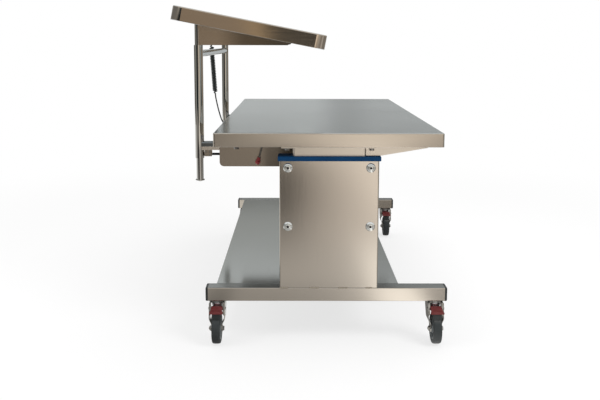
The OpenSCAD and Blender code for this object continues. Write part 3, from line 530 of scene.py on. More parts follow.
# Repeats: one prototype set on points, turned to face along each point's normal
def scatter_tree():
    tree = bpy.data.node_groups.new("set_on_points", "GeometryNodeTree")
    face = tree.interface
    face.new_socket("Points", in_out="INPUT", socket_type="NodeSocketGeometry")
    face.new_socket("Prototype", in_out="INPUT", socket_type="NodeSocketObject")
    face.new_socket("Finish", in_out="INPUT", socket_type="NodeSocketMaterial")
    for name in ("Size", "Least size", "Random turn"):
        face.new_socket(name, in_out="INPUT", socket_type="NodeSocketFloat")
    face.new_socket("Set", in_out="OUTPUT", socket_type="NodeSocketGeometry")

    def node(kind, sockets, out=0, **settings):
        made = tree.nodes.new(kind)
        for name, value in settings.items():
            setattr(made, name, value)
        for name, value in sockets.items():
            if isinstance(value, bpy.types.NodeSocket):
                tree.links.new(value, made.inputs[name])
            else:
                made.inputs[name].default_value = value
        return made.outputs[out] if made.outputs else made

    entries = tree.nodes.new("NodeGroupInput").outputs
    shape = node("GeometryNodeObjectInfo", {"Object": entries["Prototype"]}, "Geometry",
                 transform_space="ORIGINAL")
    facing = node("GeometryNodeInputNamedAttribute", {"Name": "facing"}, data_type="FLOAT_VECTOR")
    aligned = node("FunctionNodeAlignRotationToVector", {"Vector": facing}, axis="Z")
    angle = node("FunctionNodeRandomValue", {2: 0.0, 3: entries["Random turn"], "Seed": 3}, 1,
                 data_type="FLOAT")
    spin = node("FunctionNodeAxisAngleToRotation", {"Axis": (0, 0, 1), "Angle": angle})
    turn = node("FunctionNodeRotateRotation", {"Rotation": aligned, "Rotate By": spin},
                rotation_space="LOCAL")
    share = node("FunctionNodeRandomValue", {2: entries["Least size"], 3: 1.0, "Seed": 8}, 1,
                 data_type="FLOAT")
    scale = node("ShaderNodeMath", {0: share, 1: entries["Size"]}, operation="MULTIPLY")
    put = node("GeometryNodeInstanceOnPoints",
               {"Points": entries["Points"], "Instance": shape, "Rotation": turn, "Scale": scale})
    real = node("GeometryNodeRealizeInstances", {"Geometry": put})
    done = node("GeometryNodeSetMaterial", {"Geometry": real, "Material": entries["Finish"]})
    tree.links.new(done, tree.nodes.new("NodeGroupOutput").inputs[0])
    return tree


SCATTER = scatter_tree()


def prototype(form, name, angle=32, bevel=0.0):
    """A shape to be repeated: millimetres about its own foot, facing along z."""
    obj = add_object(name, form.mesh(name, Matrix.Scale(0.001, 4)))
    soften(obj, bevel, angle)
    return obj


def repeat(shape, places, name, body, look, nodes=(), size=1.0, least=1.0, turn=0.0):
    """The prototype at each (place, direction), made a plain mesh."""
    mesh = bpy.data.meshes.new(name)
    mesh.from_pydata([TO_FRAME @ Vector(place) for place, _ in places], [], [])
    facing = mesh.attributes.new("facing", "FLOAT_VECTOR", "POINT")
    facing.data.foreach_set("vector", [c for _, direction in places for c in direction])
    obj = add_object(name, mesh)
    spread = obj.modifiers.new("spread", "NODES")
    spread.node_group = SCATTER
    values = {"Prototype": shape, "Finish": LOOKS[look], "Size": size, "Least size": least,
              "Random turn": turn}
    for item in SCATTER.interface.items_tree:
        if item.name in values:
            spread[item.identifier] = values[item.name]
    settle(obj)
    return hand_over(obj, body, look, nodes)


# The nodes listed here first get their plain dressing; the main forms below are built anew
DRESSED = {
    "rail": "base_stretchers under_table_stringers",
    "shelf": "lower_shelf",
    "column": "column_foot_plates",
    "pale": "inner_column_near inner_column_far column_heads",
    "plate": "cross_plate_near cross_plate_far tabletop_channels upper_tray_channels",
    "under": "tabletop_underside upper_tray_underside",
    "bracket": "tier_bracket_near tier_bracket_far",
    "chrome": "post_sleeve_near post_sleeve_far inner_post_near inner_post_far post_feet actuator_rods",
    "chrome_bar": "cross_bar",
    "grey": "lift_actuators control_box",
    "gland": "lower_cord_gland upper_cord_gland",
    "bush": "sleeve_bushes",
    "shaft": "release_lever table_bolts",
    "dark": "latch_near latch_far",
}
for look, names in DRESSED.items():
    for name in names.split():
        dress(name, look)


# Tabletop and upper tier: folded pans with rolled upper edges and a hem below
TABLE_W, TABLE_L, TABLE_TOP, EDGE = 762, 1524, 718, 47
TABLE_UNDER = TABLE_TOP - EDGE
TABLE_CORNER, FOLD_R, HEM = 6, 4, 13
TIER_DEPTH, TIER_TILT, TIER_CORNER = 512, 11, 36
TIER_BACK_X, TIER_BACK_Z = -518, 1087
ON_TIER = shifted(TIER_BACK_X, 0, TIER_BACK_Z) @ turned("Y", TIER_TILT)


def pan(width, length, corner, at):
    levels = [(HEM, 1.0), (HEM, 0.0), (1.4, 0.0), (0.4, 0.4), (0.0, 1.4)]
    levels += [(FOLD_R * (1 - math.cos(a)), EDGE - FOLD_R + FOLD_R * math.sin(a))
               for a in (math.radians(d) for d in range(0, 91, 10))]
    return Form().loft([ring(width - 2 * inset, length - 2 * inset, max(corner - inset, 1.5), z, 8)
                        for inset, z in levels], at)


piece(pan(TABLE_W, TABLE_L, TABLE_CORNER, shifted(0, 0, TABLE_UNDER)), "tabletop_pan", "lifting_top",
      "top", ["tabletop"])
piece(pan(TIER_DEPTH, TABLE_L, TIER_CORNER, ON_TIER @ shifted(TIER_DEPTH / 2, 0, 0)), "upper_tier_pan",
      "upper_tier", "tier", ["upper_tray"])

# Base rails and their plugged ends
RAIL_Y, RAIL_W, RAIL_H, RAIL_CLEAR = 722, 50, 47, 142
RAIL_TOP = RAIL_CLEAR + RAIL_H
BASE_X, RAIL_HALF, CAP_T, RAIL_CORNER, CAP_CORNER = -4, 410, 8, 3.2, 3.4
# A plug's inset from the rail's outline, and its reach out of the rail
PLUG = [(2.6, -12), (2.6, -0.2), (0.2, 0.0), (0.0, 0.4), (0.0, 5.0), (0.9, 7.0), (2.4, 8.0), (5.0, 8.0),
        (6.0, 7.6)]
for end, side in (("near", -1), ("far", 1)):
    middle = shifted(BASE_X, side * RAIL_Y, RAIL_CLEAR + RAIL_H / 2) @ ALONG_X
    outline = ring(RAIL_H, RAIL_W, RAIL_CORNER, 0, 5)
    half = RAIL_HALF - CAP_T
    form = Form().loft([[p + Vector((0, 0, z)) for p in outline] for z in (-half, half)], middle)
    piece(form, f"base_rail_{end}_tube", "base", "rail", [f"base_rail_{end}"],
          angle=60)
caps = Form()
for side in (-1, 1):
    for turn in (ALONG_X, ALONG_MINUS_X):
        middle = shifted(BASE_X, side * RAIL_Y, RAIL_CLEAR + RAIL_H / 2)
        caps.loft([ring(RAIL_H - 2 * i, RAIL_W - 2 * i, CAP_CORNER, z, 5) for i, z in PLUG],
                  middle @ turn @ shifted(0, 0, RAIL_HALF - CAP_T))
piece(caps, "rail_end_plugs", "base", "cap", ["rail_end_caps"])

# Outer columns, collars and cup screws
COLUMN_X, COLUMN_Y, COLUMN_W, COLUMN_D = 3, 713, 332, 68
COLLAR_TOP, COLLAR_H, COLLAR_LID, COLLAR_OUT = 638, 15, 3, 6
INNER_W, INNER_D = 243, 50
COLUMN_CORNER, SHEET, GROOVE = 4.5, 2, 1.3
LID_UNDER = COLLAR_TOP - COLLAR_LID
for end, side in (("near", -1), ("far", 1)):
    middle = shifted(COLUMN_X, side * COLUMN_Y, 0)
    shell = [(GROOVE, RAIL_TOP), (GROOVE, RAIL_TOP + GROOVE), (0, RAIL_TOP + GROOVE), (0, LID_UNDER),
             (SHEET, LID_UNDER), (SHEET, RAIL_TOP + 9)]
    form = Form().loft([ring(COLUMN_W - 2 * i, COLUMN_D - 2 * i, COLUMN_CORNER - i, z, 6) for i, z in shell],
                       middle)
    piece(form, f"column_{end}_shell", "base", "column", [f"column_shroud_{end}"])
collars = Form()
bottom = COLLAR_TOP - COLLAR_H
for side in (-1, 1):
    w, d = COLUMN_W + 2 * COLLAR_OUT, COLUMN_D + 2 * COLLAR_OUT
    levels = [(COLUMN_W, COLUMN_D, 4, bottom), (w - 2, d - 2, 4, bottom), (w, d, 5, bottom + 1),
              (w, d, 5, COLLAR_TOP - 2.5), (w - 1.2, d - 1.2, 4.6, COLLAR_TOP - 0.8),
              (w - 5, d - 5, 4, COLLAR_TOP), (INNER_W + 3, INNER_D + 3, 7, COLLAR_TOP),
              (INNER_W + 1, INNER_D + 1, 6.5, COLLAR_TOP - 1), (INNER_W + 1, INNER_D + 1, 6.5, LID_UNDER),
              (COLUMN_W, COLUMN_D, 4, LID_UNDER)]
    collars.loft([ring(a, b, r, z, 6) for a, b, r, z in levels], shifted(COLUMN_X, side * COLUMN_Y, 0),
                 wrap=True)
piece(collars, "column_collar_rims", "base", "blue", ["column_collars"], angle=50)

SCREW_ACROSS, SCREW_HEIGHTS = 138, (401, 600)
SCREW_PLACES = [
    ((COLUMN_X + s * SCREW_ACROSS, side * (COLUMN_Y + COLUMN_D / 2), z), (0, side, 0))
    for side in (-1, 1) for s in (-1, 1) for z in SCREW_HEIGHTS
]
cup = Form().lathe([(4, -2), (16, -0.2), (16, 0.5), (15.4, 1.4), (13.6, 2.9), (12.2, 4.4), (11.2, 4.9),
                    (10.4, 4.6), (9.2, 3.2), (8.4, 2.6), (7.9, 2.6), (7.9, 4.6), (7.2, 6.0), (6.0, 6.5),
                    (4.3, 6.5), (4.3, -2)], wrap=True)
cup_shape = prototype(cup, "cup_washer", 50)
repeat(cup_shape, SCREW_PLACES, "column_cup_washers", "base", "cup", ["column_screws"])
# Each screw's socket gets a dark hexagonal floor: painted shade in the recess of the screw head
socket = Form().lathe([(4.25, -2), (4.25, 3.4), (1e-4, 3.4)], steps=6)
socket_shape = prototype(socket, "socket_floor")
repeat(socket_shape, SCREW_PLACES, "column_screw_sockets", "base", "dark")

# Casters
CASTERS = {"near_back": (-375, -1), "near_front": (367, -1), "far_back": (-375, 1), "far_front": (367, 1)}
CROWN_TOP, CROWN_TRAIL, CROWN_LEAD, TRAIL, AXLE_Z = 139, 20, 24, 35, 51
LEG_IN, LEG_T, FORK_HALF = 16.2, 3, 27.5
FLANGE_IN, FLANGE_LOW = 19.6, 95
WHEEL_R, HUB_HALF, TYRE_HALF = 51, 15.7, 14.5
PIVOT_Y, PIVOT_Z = -23, 116
# How a leg's edges run back below the crown: from this height, down to this one, by so much
FRONT_RUN, BACK_RUN = (119, 43.5, 48.35), (109, 55.4, 11.2)
LEG_BACK, LEG_SWEEP, SWEEP_SHARE = -32, 4, 0.34
# The heights between which the legs flare from the hub's width to the crown's
FLARE_LOW, FLARE_HIGH = 63, 87
EYE_R, EYE_BLEND, BEND_R, LEG_STEPS = 13.2, 8, 5, 36
# The crown's pressing: half its width, and height
CROWN = [(27.0, 139.0), (27.0, 136.0), (26.0, 134.5), (24.5, 134.0)]
RIVET = [(3, -4), (5.2, 0), (5.2, 0.8), (4.2, 2.0), (2.4, 2.6)]


def smooth_step(t):
    t = min(1, max(0, t))
    return t * t * (3 - 2 * t)


def run(z, start, end, amount):
    """How far an edge has run at height z."""
    return max(0, start - z) / (start - end) * amount


def leg_rings(side):
    """Cross-sections of one pressed leg, from its bend at the crown down round the axle.

    The trailing edge is turned inwards above the wheel."""
    rings = []
    for step in range(LEG_STEPS + 1):
        z = CROWN_TOP - 0.2 - (CROWN_TOP - 0.6 - AXLE_Z + EYE_R) * step / LEG_STEPS
        t = (CROWN_TOP - z) / (CROWN_TOP - AXLE_Z)
        front = CROWN_LEAD - run(z, *FRONT_RUN)
        back = LEG_BACK - LEG_SWEEP * min(1, t / SWEEP_SHARE) - run(z, *BACK_RUN)
        if z < AXLE_Z + EYE_BLEND:
            reach = math.sqrt(max(EYE_R ** 2 - (z - AXLE_Z) ** 2, 1.0))
            blend = smooth_step((AXLE_Z + EYE_BLEND - z) / 10)
            front += (-TRAIL + reach - front) * blend
            back += (-TRAIL - reach - back) * blend
        round_in = BEND_R - math.sqrt(max(BEND_R ** 2 - max(0, z - CROWN_TOP + BEND_R) ** 2, 0))
        flare = smooth_step((z - FLARE_LOW) / (FLARE_HIGH - FLARE_LOW))
        inner = LEG_IN + (FORK_HALF - LEG_T - LEG_IN) * flare - round_in * 0.7
        outer = inner + LEG_T - round_in * 0.3
        flange = inner - 0.01 + (FLANGE_IN - inner) * smooth_step((z - FLANGE_LOW) / 5)
        rings.append([Vector((side * x, y, z)) for x, y in (
            (flange, back), (outer - 2.2, back), (outer - 0.6, back + 0.7), (outer, back + 2.4),
            (outer, front - 1.2), (outer - 0.8, front), (inner, front), (inner, back + LEG_T),
            (flange, back + LEG_T))])
    return rings


def hexagon(across, low, high):
    """A chamfered hexagon head along z."""
    r = across / math.sqrt(3)
    return [(r - 0.9, low), (r, low + 0.5), (r, high - 1.0), (r - 1.1, high)]


def fork_form(at):
    form = Form()
    depth, half = CROWN_TRAIL + CROWN_LEAD, CROWN[0][0]
    form.loft([ring(2 * x, depth - 2 * (half - x), 9, z, 6) for x, z in CROWN],
              at @ shifted(0, (CROWN_LEAD - CROWN_TRAIL) / 2, 0))
    for side, outwards in ((-1, ALONG_MINUS_X), (1, ALONG_X)):
        form.loft(leg_rings(side), at)
        eye = at @ shifted(side * (LEG_IN + LEG_T), -TRAIL, AXLE_Z) @ outwards
        form.lathe([(5, -0.2), (10.5, -0.2), (10.5, 1.0), (10.0, 1.4), (5, 1.4)], eye, wrap=True)
        form.lathe(hexagon(15, 1.3, 6.0), eye @ turned("Z", 12), steps=6)
        if side < 0:
            form.lathe([(4.6, 5.5), (4.6, 7.6), (3.9, 8.2)], eye, 24)
        form.lathe(RIVET, at @ shifted(side * FORK_HALF, PIVOT_Y, PIVOT_Z) @ outwards, 24)
    form.lathe([(5, -19.2), (5, 19.2)], at @ shifted(0, -TRAIL, AXLE_Z) @ ALONG_X, 24)
    form.lathe([(3, -26), (3, 26)], at @ shifted(0, PIVOT_Y, PIVOT_Z) @ ALONG_X, 24)
    return form


def core_profile(half):
    """Wheel core: bearing seal, dished web and rim, with the bore open for the axle."""
    side = [(5.08, 1.0), (5.08, half), (8.6, half), (9.2, half - 0.6), (9.4, half - 1.4),
            (11.8, half - 1.4), (12.6, half - 0.6), (13.6, half - 1.0), (15.2, half - 5.0),
            (17.5, half - 6.4), (28.0, half - 6.4), (30.5, half - 5.6), (32.4, half - 2.8),
            (34.0, half - 2.2), (36.4, half - 2.2), (37.0, half - 2.8)]
    return side + [(r, -z) for r, z in reversed(side)]


def tyre_profile(half, r):
    """Solid tyre: flat sides, rounded shoulders and a faintly crowned tread."""
    side = [(37.0, half - 1.5), (38.2, half - 0.5), (40.5, half), (45.2, half), (47.4, half - 0.5),
            (49.2, half - 1.9), (50.3, half - 4.0), (50.8, half - 7.0), (r, half - 10.5), (r, 0.5), (r, 0.0)]
    return side + [(r, -z) for r, z in reversed(side[:-1])]


CORE_RIB = prototype(Form().loft([ring(1.8, 3.0, 0.4, 0, 2), ring(1.4, 2.4, 0.4, 4.6, 2)]), "core_rib", 40)
PEDAL_RIB = prototype(Form().loft([ring(31, 1.5, 0.6, -0.6, 2), ring(30, 0.7, 0.3, 0.7, 2)]), "tread_rib", 40)

# The tread's profile in y and z from the pivot: its stepped top face, the lip, then the underside
TREAD_TOP = [(0.4, 4.6), (1, 7), (-1.4, 9), (-8, 9.5), (-13.5, 8.6), (-14.6, 7.2), (-16, 7.4), (-26, 5.2),
             (-27, 4.0), (-28.4, 4.0), (-36, 2.6), (-45, 0), (-48.5, -1.6), (-49, -4)]
TREAD_UNDER = [(-46.5, -4.4), (-43, -3), (-33, -0.4), (-21, 3), (-9, 5.5), (-3, 5)]
TREAD_HALF, LIP_HALF, LIP_FROM, EAR_R = 19, 22.5, -33, 6.5
TREAD_STATIONS = (18.2, 19, 20.2, 21.4, 22.2, 22.5)
SHOE_HALF, SHOE_BACK, SHOE_FRONT, SHOE_GAP, PANEL_HALF, PANEL_OUT = 14, -25, -45, 0.4, 10.5, 0.8
# The housing of the swivel race, turned about the swivel axis
HOUSING = [(6.08, 134.2), (19.4, 134.2), (20.6, 133.0), (20.6, 129.2), (19.6, 127.4), (19.2, 121.6),
           (18.2, 118.8), (16.0, 117.2), (12.4, 116.8), (11.2, 118.0), (6.08, 118.6)]
# The fixed race above it, with the kingpin
RACE = [(22, 142), (22, 140.6), (21, 139.4), (6, 139.3), (6, 126), (5, 125), (1e-4, 125), (1e-4, 159),
        (6, 158.5), (6, 142)]


def pedal_form(at):
    """The red tread, wider at its lip, with two ears on the pivot."""
    form = Form()
    flare = LIP_HALF - TREAD_HALF
    rings = []
    for x in (*(-x for x in reversed(TREAD_STATIONS)), -9, 0, 9, *TREAD_STATIONS):
        out = max(0, abs(x) - TREAD_HALF) / flare
        lip_from = LIP_FROM - 7 * out ** 2
        points = []
        for y, z in TREAD_TOP + TREAD_UNDER:
            if abs(x) > TREAD_HALF:
                y = min(y, lip_from) + 3 * out ** 3 * (y < -45)
                if y >= lip_from:
                    z = 2.8 - 2.2 * out ** 2 if z > 2 else -0.6 - 1.8 * out ** 2
            elif abs(x) == TREAD_HALF:
                z -= 0.4
            points.append(Vector((x, y, z)))
        rings.append(points)
    form.loft(rings, at)
    ear = [(EAR_R * math.cos(a), EAR_R * math.sin(a)) for a in (math.radians(d) for d in range(-200, 20, 15))]
    ear += [(1, 6), (-8, 8), (-33, 0), (-33, -2)]
    for x0 in (-TREAD_HALF, TREAD_HALF - 4):
        form.loft([[Vector((x, y, z)) for y, z in ear] for x in (x0, x0 + 4)], at)
    return form


def shoe_form(at):
    """The dark brake body under the tread, hollowed round the tyre, with a raised plain panel."""
    form = Form()
    clear = WHEEL_R + SHOE_GAP
    axle_y, axle_z = -TRAIL - PIVOT_Y, AXLE_Z - PIVOT_Z

    def section(front, back, top_front, top_back):
        arc = [front + (back - front) * k / 6 for k in range(7)]
        under = [(y, axle_z + math.sqrt(clear ** 2 - (y - axle_y) ** 2)) for y in arc]
        return under + [(back, top_back), (front, top_front)]

    body = section(SHOE_FRONT, SHOE_BACK, -1.4, 2.6)
    form.loft([[Vector((x, y, z)) for y, z in body] for x in (-SHOE_HALF, SHOE_HALF)], at)
    panel = [(SHOE_FRONT + 1, -22), (SHOE_FRONT + 1, -9), (SHOE_FRONT - PANEL_OUT, -9.6),
             (SHOE_FRONT - PANEL_OUT, -21.4)]
    form.loft([[Vector((x, y, z)) for y, z in panel] for x in (-PANEL_HALF, PANEL_HALF)], at)
    return form


for name, (x, side) in CASTERS.items():
    at = shifted(x, side * RAIL_Y, 0)
    y = side * RAIL_Y
    swivel, wheel, brake = (f"{name}_{kind}" for kind in ("swivel", "wheel", "brake"))
    piece(fork_form(at), name + "_fork_pressing", swivel, "zinc", [name + "_fork"], bevel=0.35)
    piece(Form().lathe(HOUSING, at, wrap=True), name + "_race_housing", swivel, "bright", angle=40)
    axle = at @ shifted(0, -TRAIL, AXLE_Z) @ ALONG_X
    piece(Form().lathe(core_profile(HUB_HALF), axle, 64, wrap=True), name + "_wheel_core", wheel,
          "core", [name + "_hub"], angle=40)
    piece(Form().lathe(tyre_profile(TYRE_HALF, WHEEL_R), axle, 96, wrap=True), name + "_tyre_ring", wheel,
          "tyre", [name + "_tyre"], angle=50)
    ribs = [((x + face * (HUB_HALF - 7), y - TRAIL + r * math.cos(a), AXLE_Z + r * math.sin(a)), (face, 0, 0))
            for face in (-1, 1) for a in (2 * math.pi * k / 12 for k in range(12)) for r in (18, 21, 24, 27)]
    repeat(CORE_RIB, ribs, name + "_core_ribs", wheel, "core")
    pivot = at @ shifted(0, PIVOT_Y, PIVOT_Z)
    piece(pedal_form(pivot), name + "_pedal_tread", brake, "pedal", [name + "_pedal"],
          bevel=0.5, angle=38)
    piece(shoe_form(pivot), name + "_brake_shoe", brake, "cap", bevel=0.4)
    ribs = [((x, y + PIVOT_Y + a, PIVOT_Z + b), (0, -0.4, 0.92))
            for a, b in ((-31, 3.6), (-34.5, 2.9), (-38, 2.0))]
    repeat(PEDAL_RIB, ribs, name + "_tread_ribs", brake, "pedal")

stems = Form()
for x, side in CASTERS.values():
    at = shifted(x, side * RAIL_Y, 0)
    stems.lathe(RACE[::-1], at, wrap=True)
    stems.lathe(hexagon(19, 144.5, 154.5), at, steps=6)
piece(stems, "caster_races", "base", "zinc", ["caster_stems"])

# Release lever's ball knob on its short neck
SHAFT_X, SHAFT_Z, LEVER_Y, LEVER_LEAN = -227, 652, 540, 15.4
BALL_R, BALL_AT, NECK_END = 9.5, 68, 50.5
NECK_R, NECK_HOLE = 3.0, 60
knob = [(NECK_R, NECK_END), (5.2, NECK_END), (5.7, NECK_END + 0.6), (5.8, NECK_END + 3),
        (6.0, NECK_END + 6.5), (6.6, NECK_END + 9)]
knob += [(BALL_R * math.sin(a), BALL_AT - BALL_R * math.cos(a))
         for a in (math.radians(d) for d in range(48, 181, 12))]
knob += [(0, NECK_HOLE), (NECK_R, NECK_HOLE)]
lever = shifted(SHAFT_X, -LEVER_Y, SHAFT_Z) @ turned("Y", 180 + LEVER_LEAN)
piece(Form().lathe(knob, lever, wrap=True), "lever_grip", "latch_release", "red",
      ["lever_knob"], angle=60)

# Arms that carry the sleeves: a polished bar rounded along its top, a flat bar, and the latch block below
POST_X, POST_Y, SLEEVE_R, BAR_R, BAR_Z = -457, 507, 15.875, 12.7, 973
ARM_HALF, ARM_R, ARM_TOP, ARM_LOW, FLAT_LOW, BLOCK_LOW = 14, 7, 658, 640, 627, 604
ARM_END, FLAT_END, BLOCK_BACK, BLOCK_END = -333, -384, -439, -413


def off_the_sleeve(section, end_x, middle_y):
    """A bar along x whose back end is cut to fit the round sleeve."""
    return [[Vector((x(y), middle_y + y, z)) for y, z in section]
            for x in (lambda y: POST_X + math.sqrt(SLEEVE_R ** 2 - y ** 2), lambda y: end_x)]


across = [ARM_HALF * k / 4 for k in range(-4, 5)]
arm_section = [(y, ARM_LOW) for y in across]
arm_section += [(s * (ARM_HALF - ARM_R + ARM_R * math.cos(a)), ARM_TOP - ARM_R + ARM_R * math.sin(a))
                for s, degrees in ((1, range(0, 91, 15)), (-1, range(90, -1, -15)))
                for a in (math.radians(d) for d in degrees)]
flat_section = [(y, FLAT_LOW) for y in across] + [(y, ARM_LOW - 0.2) for y in reversed(across)]
arms, flats, blocks = Form(), Form(), Form()
for side in (-1, 1):
    arms.loft(off_the_sleeve(arm_section, ARM_END, side * POST_Y))
    flats.loft(off_the_sleeve(flat_section, FLAT_END, side * POST_Y))
    middle = shifted((BLOCK_BACK + BLOCK_END) / 2, side * POST_Y, 0)
    blocks.loft([ring(BLOCK_END - BLOCK_BACK, 2 * ARM_HALF - 2, 0.6, z, 2) for z in (BLOCK_LOW, FLAT_LOW)],
                middle)
piece(arms, "post_arm_bars", "lifting_top", "arm", ["post_arms"], angle=50)
piece(flats, "post_arm_flats", "lifting_top", "pale", bevel=0.7)
piece(blocks, "latch_blocks", "lifting_top", "plate", bevel=0.7)
ROD_Z, ROD_SLEEVE_R = 611, 4.4
for end, side in (("near", -1), ("far", 1)):
    rod = [(BLOCK_END + 2, side * POST_Y, ROD_Z), (SHAFT_X - 90, side * POST_Y, ROD_Z)]
    piece(Form().tube(rod, ROD_SLEEVE_R, 20), f"pull_rod_sleeve_{end}", f"{end}_latch",
          "rod", angle=50)
pin = Form().lathe([(3.4, -1), (3.4, 1.4), (2.8, 2.2), (1.6, 2.2), (1.6, 1.0), (0, 1.0)], steps=20)
PIN_HEAD = prototype(pin, "pin_head", 40)
repeat(PIN_HEAD, [((x, side * (POST_Y + ARM_HALF - 1), z), (0, side, 0))
                  for side in (-1, 1) for x, z in ((-433, 621), (-419, 621), (-419, 609))],
       "latch_block_screws", "lifting_top", "zinc")

# Welds: short overlapping beads along the seams
bead = Form().lathe([(0, -0.9), (1.1, -0.7), (1.6, 0), (1.1, 0.8), (0, 1.0)], steps=10)
BEAD = prototype(bead, "weld_bead", 60)
TACK_STEP, TACK_SIZE, BAR_BEADS = 3.2, 2.2, 54
TACKS = ((-163, -139), (-62, -36), (36, 62), (128, 146))


def seam(start, end, step):
    a, b = Vector(start), Vector(end)
    count = max(2, round((b - a).length / step))
    return [tuple(a.lerp(b, k / (count - 1))) for k in range(count)]


def beads(points, name, body, facing, size=1.0):
    repeat(BEAD, [(p, facing) for p in points], name, body, "weld", size=size, least=0.7,
           turn=2 * math.pi)


column_face, weld_z = COLUMN_Y + COLUMN_D / 2, RAIL_TOP + 0.6
tacks = [seam((COLUMN_X + a, s * column_face, weld_z), (COLUMN_X + b, s * column_face, weld_z), TACK_STEP)
         for s in (-1, 1) for a, b in TACKS]
beads([p for line in tacks for p in line], "column_foot_welds", "base", (0, 0, 1), TACK_SIZE)
ends = [(POST_X + BAR_R * math.cos(a), s * (POST_Y - math.sqrt(SLEEVE_R ** 2 - (BAR_R * math.cos(a)) ** 2)),
         BAR_Z + BAR_R * math.sin(a))
        for s in (-1, 1) for a in (2 * math.pi * k / BAR_BEADS for k in range(BAR_BEADS))]
beads(ends, "cross_bar_welds", "lifting_top", (0, 1, 0))

# Studio: a pale floor and soft lamps. What metal mirrors is a room with light and dark stretches.
WHITE = (1, 1, 1)
FLOOR_HALF, FLOOR_PAINT = 7.0, (0.94, 0.94, 0.94)
# The mirrored floor near the camera's end of the table, further out and at its far edge: a tint, then
# metres across from the table's middle with brightness
NEAR_TINT, NEAR = (1, 0.985, 0.96), [
    (-4, 0.3), (-0.52, 0.38), (-0.46, 0.34), (-0.43, 0.2), (-0.395, 0.2), (-0.35, 0.42), (-0.19, 0.42),
    (-0.06, 0.46), (0.04, 0.52), (0.11, 0.62), (0.17, 0.76), (0.225, 1.3), (0.3, 1.6), (0.38, 1.5),
    (0.435, 0.5), (0.5, 0.5), (4, 0.45)]
MIDDLE_TINT, MIDDLE = (1, 0.94, 0.88), [
    (-4, 0.3), (-3.3, 0.05), (-1.05, 0.05), (-0.93, 0.36), (-0.48, 0.37), (-0.36, 0.13), (-0.18, 0.07),
    (-0.1, 0.2), (0, 0.42), (0.07, 0.52), (0.22, 0.72), (0.36, 0.95), (0.5, 1.35), (0.65, 1.25),
    (0.8, 0.35), (4, 0.3)]
FAR_TINT, FAR = (1, 0.93, 0.84), [
    (-4, 0.3), (-1.1, 0.26), (-0.8, 0.4), (-0.46, 0.7), (-0.13, 0.96), (0.25, 1.25), (0.6, 1.32),
    (1.1, 1.25), (1.3, 0.9), (1.45, 0.4), (4, 0.4)]
# Where along the table these stretches meet, in metres, and the lit stretch between
FAR_TO_MIDDLE, MIDDLE_TO_NEAR = (-5.5, -4.7), (-2.5, -1.5)
GLOW_FROM, GLOW_TO, GLOW_SHARE, GLOW = (-3.2, -2.2), (-1.45, -1.2), 0.22, (1.0, 0.97, 0.93)
# The floor under the table as mirrors see it: painted light to the left, the table's painted shadow to the
# right
NEAR_TO_UNDER, LEFT_TO_RIGHT = (-0.8, -0.65), (-0.05, 0.15)
UNDER_PAINTED_LIGHT, UNDER_PAINTED_SHADOW = (0.9, 0.9, 0.88), (0.26, 0.25, 0.235)
# How far from the table the floor fades from its own shade to the white of the background
FADE_FROM, FADE_TO, LEAST_FADE = 0.7, 3.5, 0.72
# The wall behind the camera above and below eye level, by the share across (0 to 1) of a ray's direction
WALL = [(0.00, (0.32, 0.30, 0.26)), (0.07, (0.30, 0.30, 0.28)), (0.14, (0.012, 0.018, 0.02)),
        (0.38, (0.02, 0.026, 0.03)), (0.40, (0.32, 0.265, 0.21)), (0.462, (0.32, 0.265, 0.21)),
        (0.4745, (0.52, 0.40, 0.26)), (0.4835, (0.085, 0.08, 0.07)), (0.53, (0.085, 0.08, 0.07)),
        (0.57, (0.9, 0.80, 0.68)), (0.74, (0.9, 0.80, 0.68)), (0.79, (0.10, 0.115, 0.11)),
        (0.88, (0.10, 0.115, 0.11)), (0.91, (0.9, 0.95, 0.95)), (0.95, (0.15, 0.16, 0.15)),
        (1, (0.3, 0.25, 0.2))]
LOW_WALL = [(0.00, (0.34, 0.31, 0.27)), (0.08, (0.30, 0.32, 0.32)), (0.14, (0.01, 0.016, 0.018)),
            (0.43, (0.01, 0.014, 0.013)), (0.447, (0.3, 0.28, 0.25)), (0.47, (0.5, 0.47, 0.42)),
            (0.50, (0.90, 0.84, 0.75)), (0.52, (1.12, 1.05, 0.94)), (0.575, (1.12, 1.05, 0.94)),
            (0.62, (0.42, 0.36, 0.30)), (0.86, (0.50, 0.49, 0.46)), (0.94, (0.03, 0.045, 0.045)),
            (1, (0.10, 0.11, 0.11))]
# Beyond the table, by the sine of a ray's rise
BEYOND = [(0.0, (0.62, 0.64, 0.64)), (0.13, (0.62, 0.64, 0.64)), (0.15, (0.50, 0.51, 0.50)),
          (0.17, (0.035, 0.035, 0.03)), (0.195, (0.035, 0.035, 0.03)), (0.22, (0.50, 0.50, 0.47)),
          (0.27, (0.52, 0.53, 0.51)), (0.30, (0.78, 0.79, 0.78)), (0.34, (0.92, 0.93, 0.92)),
          (0.6, (0.80, 0.81, 0.82))]
BEYOND_RIGHT, BEYOND_LEFT = (0.3, 0.25, 0.2), (0.12, 0.12, 0.11)
# The room to the sides, its ceiling, and the plain light that is all that rough surfaces take from it
LEFT_SIDE, OTHER_SIDES = (0.2, 0.21, 0.215), (0.66, 0.67, 0.66)
CEILING, AIR = (0.82, 0.83, 0.84), (0.5, 0.5, 0.5)
LAMP_AIM = (0, 0, 0.6)
LAMPS = [  # name, place, size, power
    ("key", (2.4, -2.2, 2.8), (1.6, 1.6), 70),
    ("fill", (-2.6, -1.6, 1.8), (1.4, 1.8), 22),
    ("top", (0, 0.4, 3.2), (2.4, 2.4), 60),
]


def tones(tree, share, stops):
    """A smooth run of colours."""
    node = tree.nodes.new("ShaderNodeValToRGB")
    node.color_ramp.interpolation = "EASE"
    points = node.color_ramp.elements
    while len(points) < len(stops):
        points.new(0.5)
    for point, (at, colour) in zip(points, stops):
        point.position = at
        point.color = (*colour, 1)
    feed(tree, node.inputs[0], share)
    return Wire(tree, node.outputs[0])


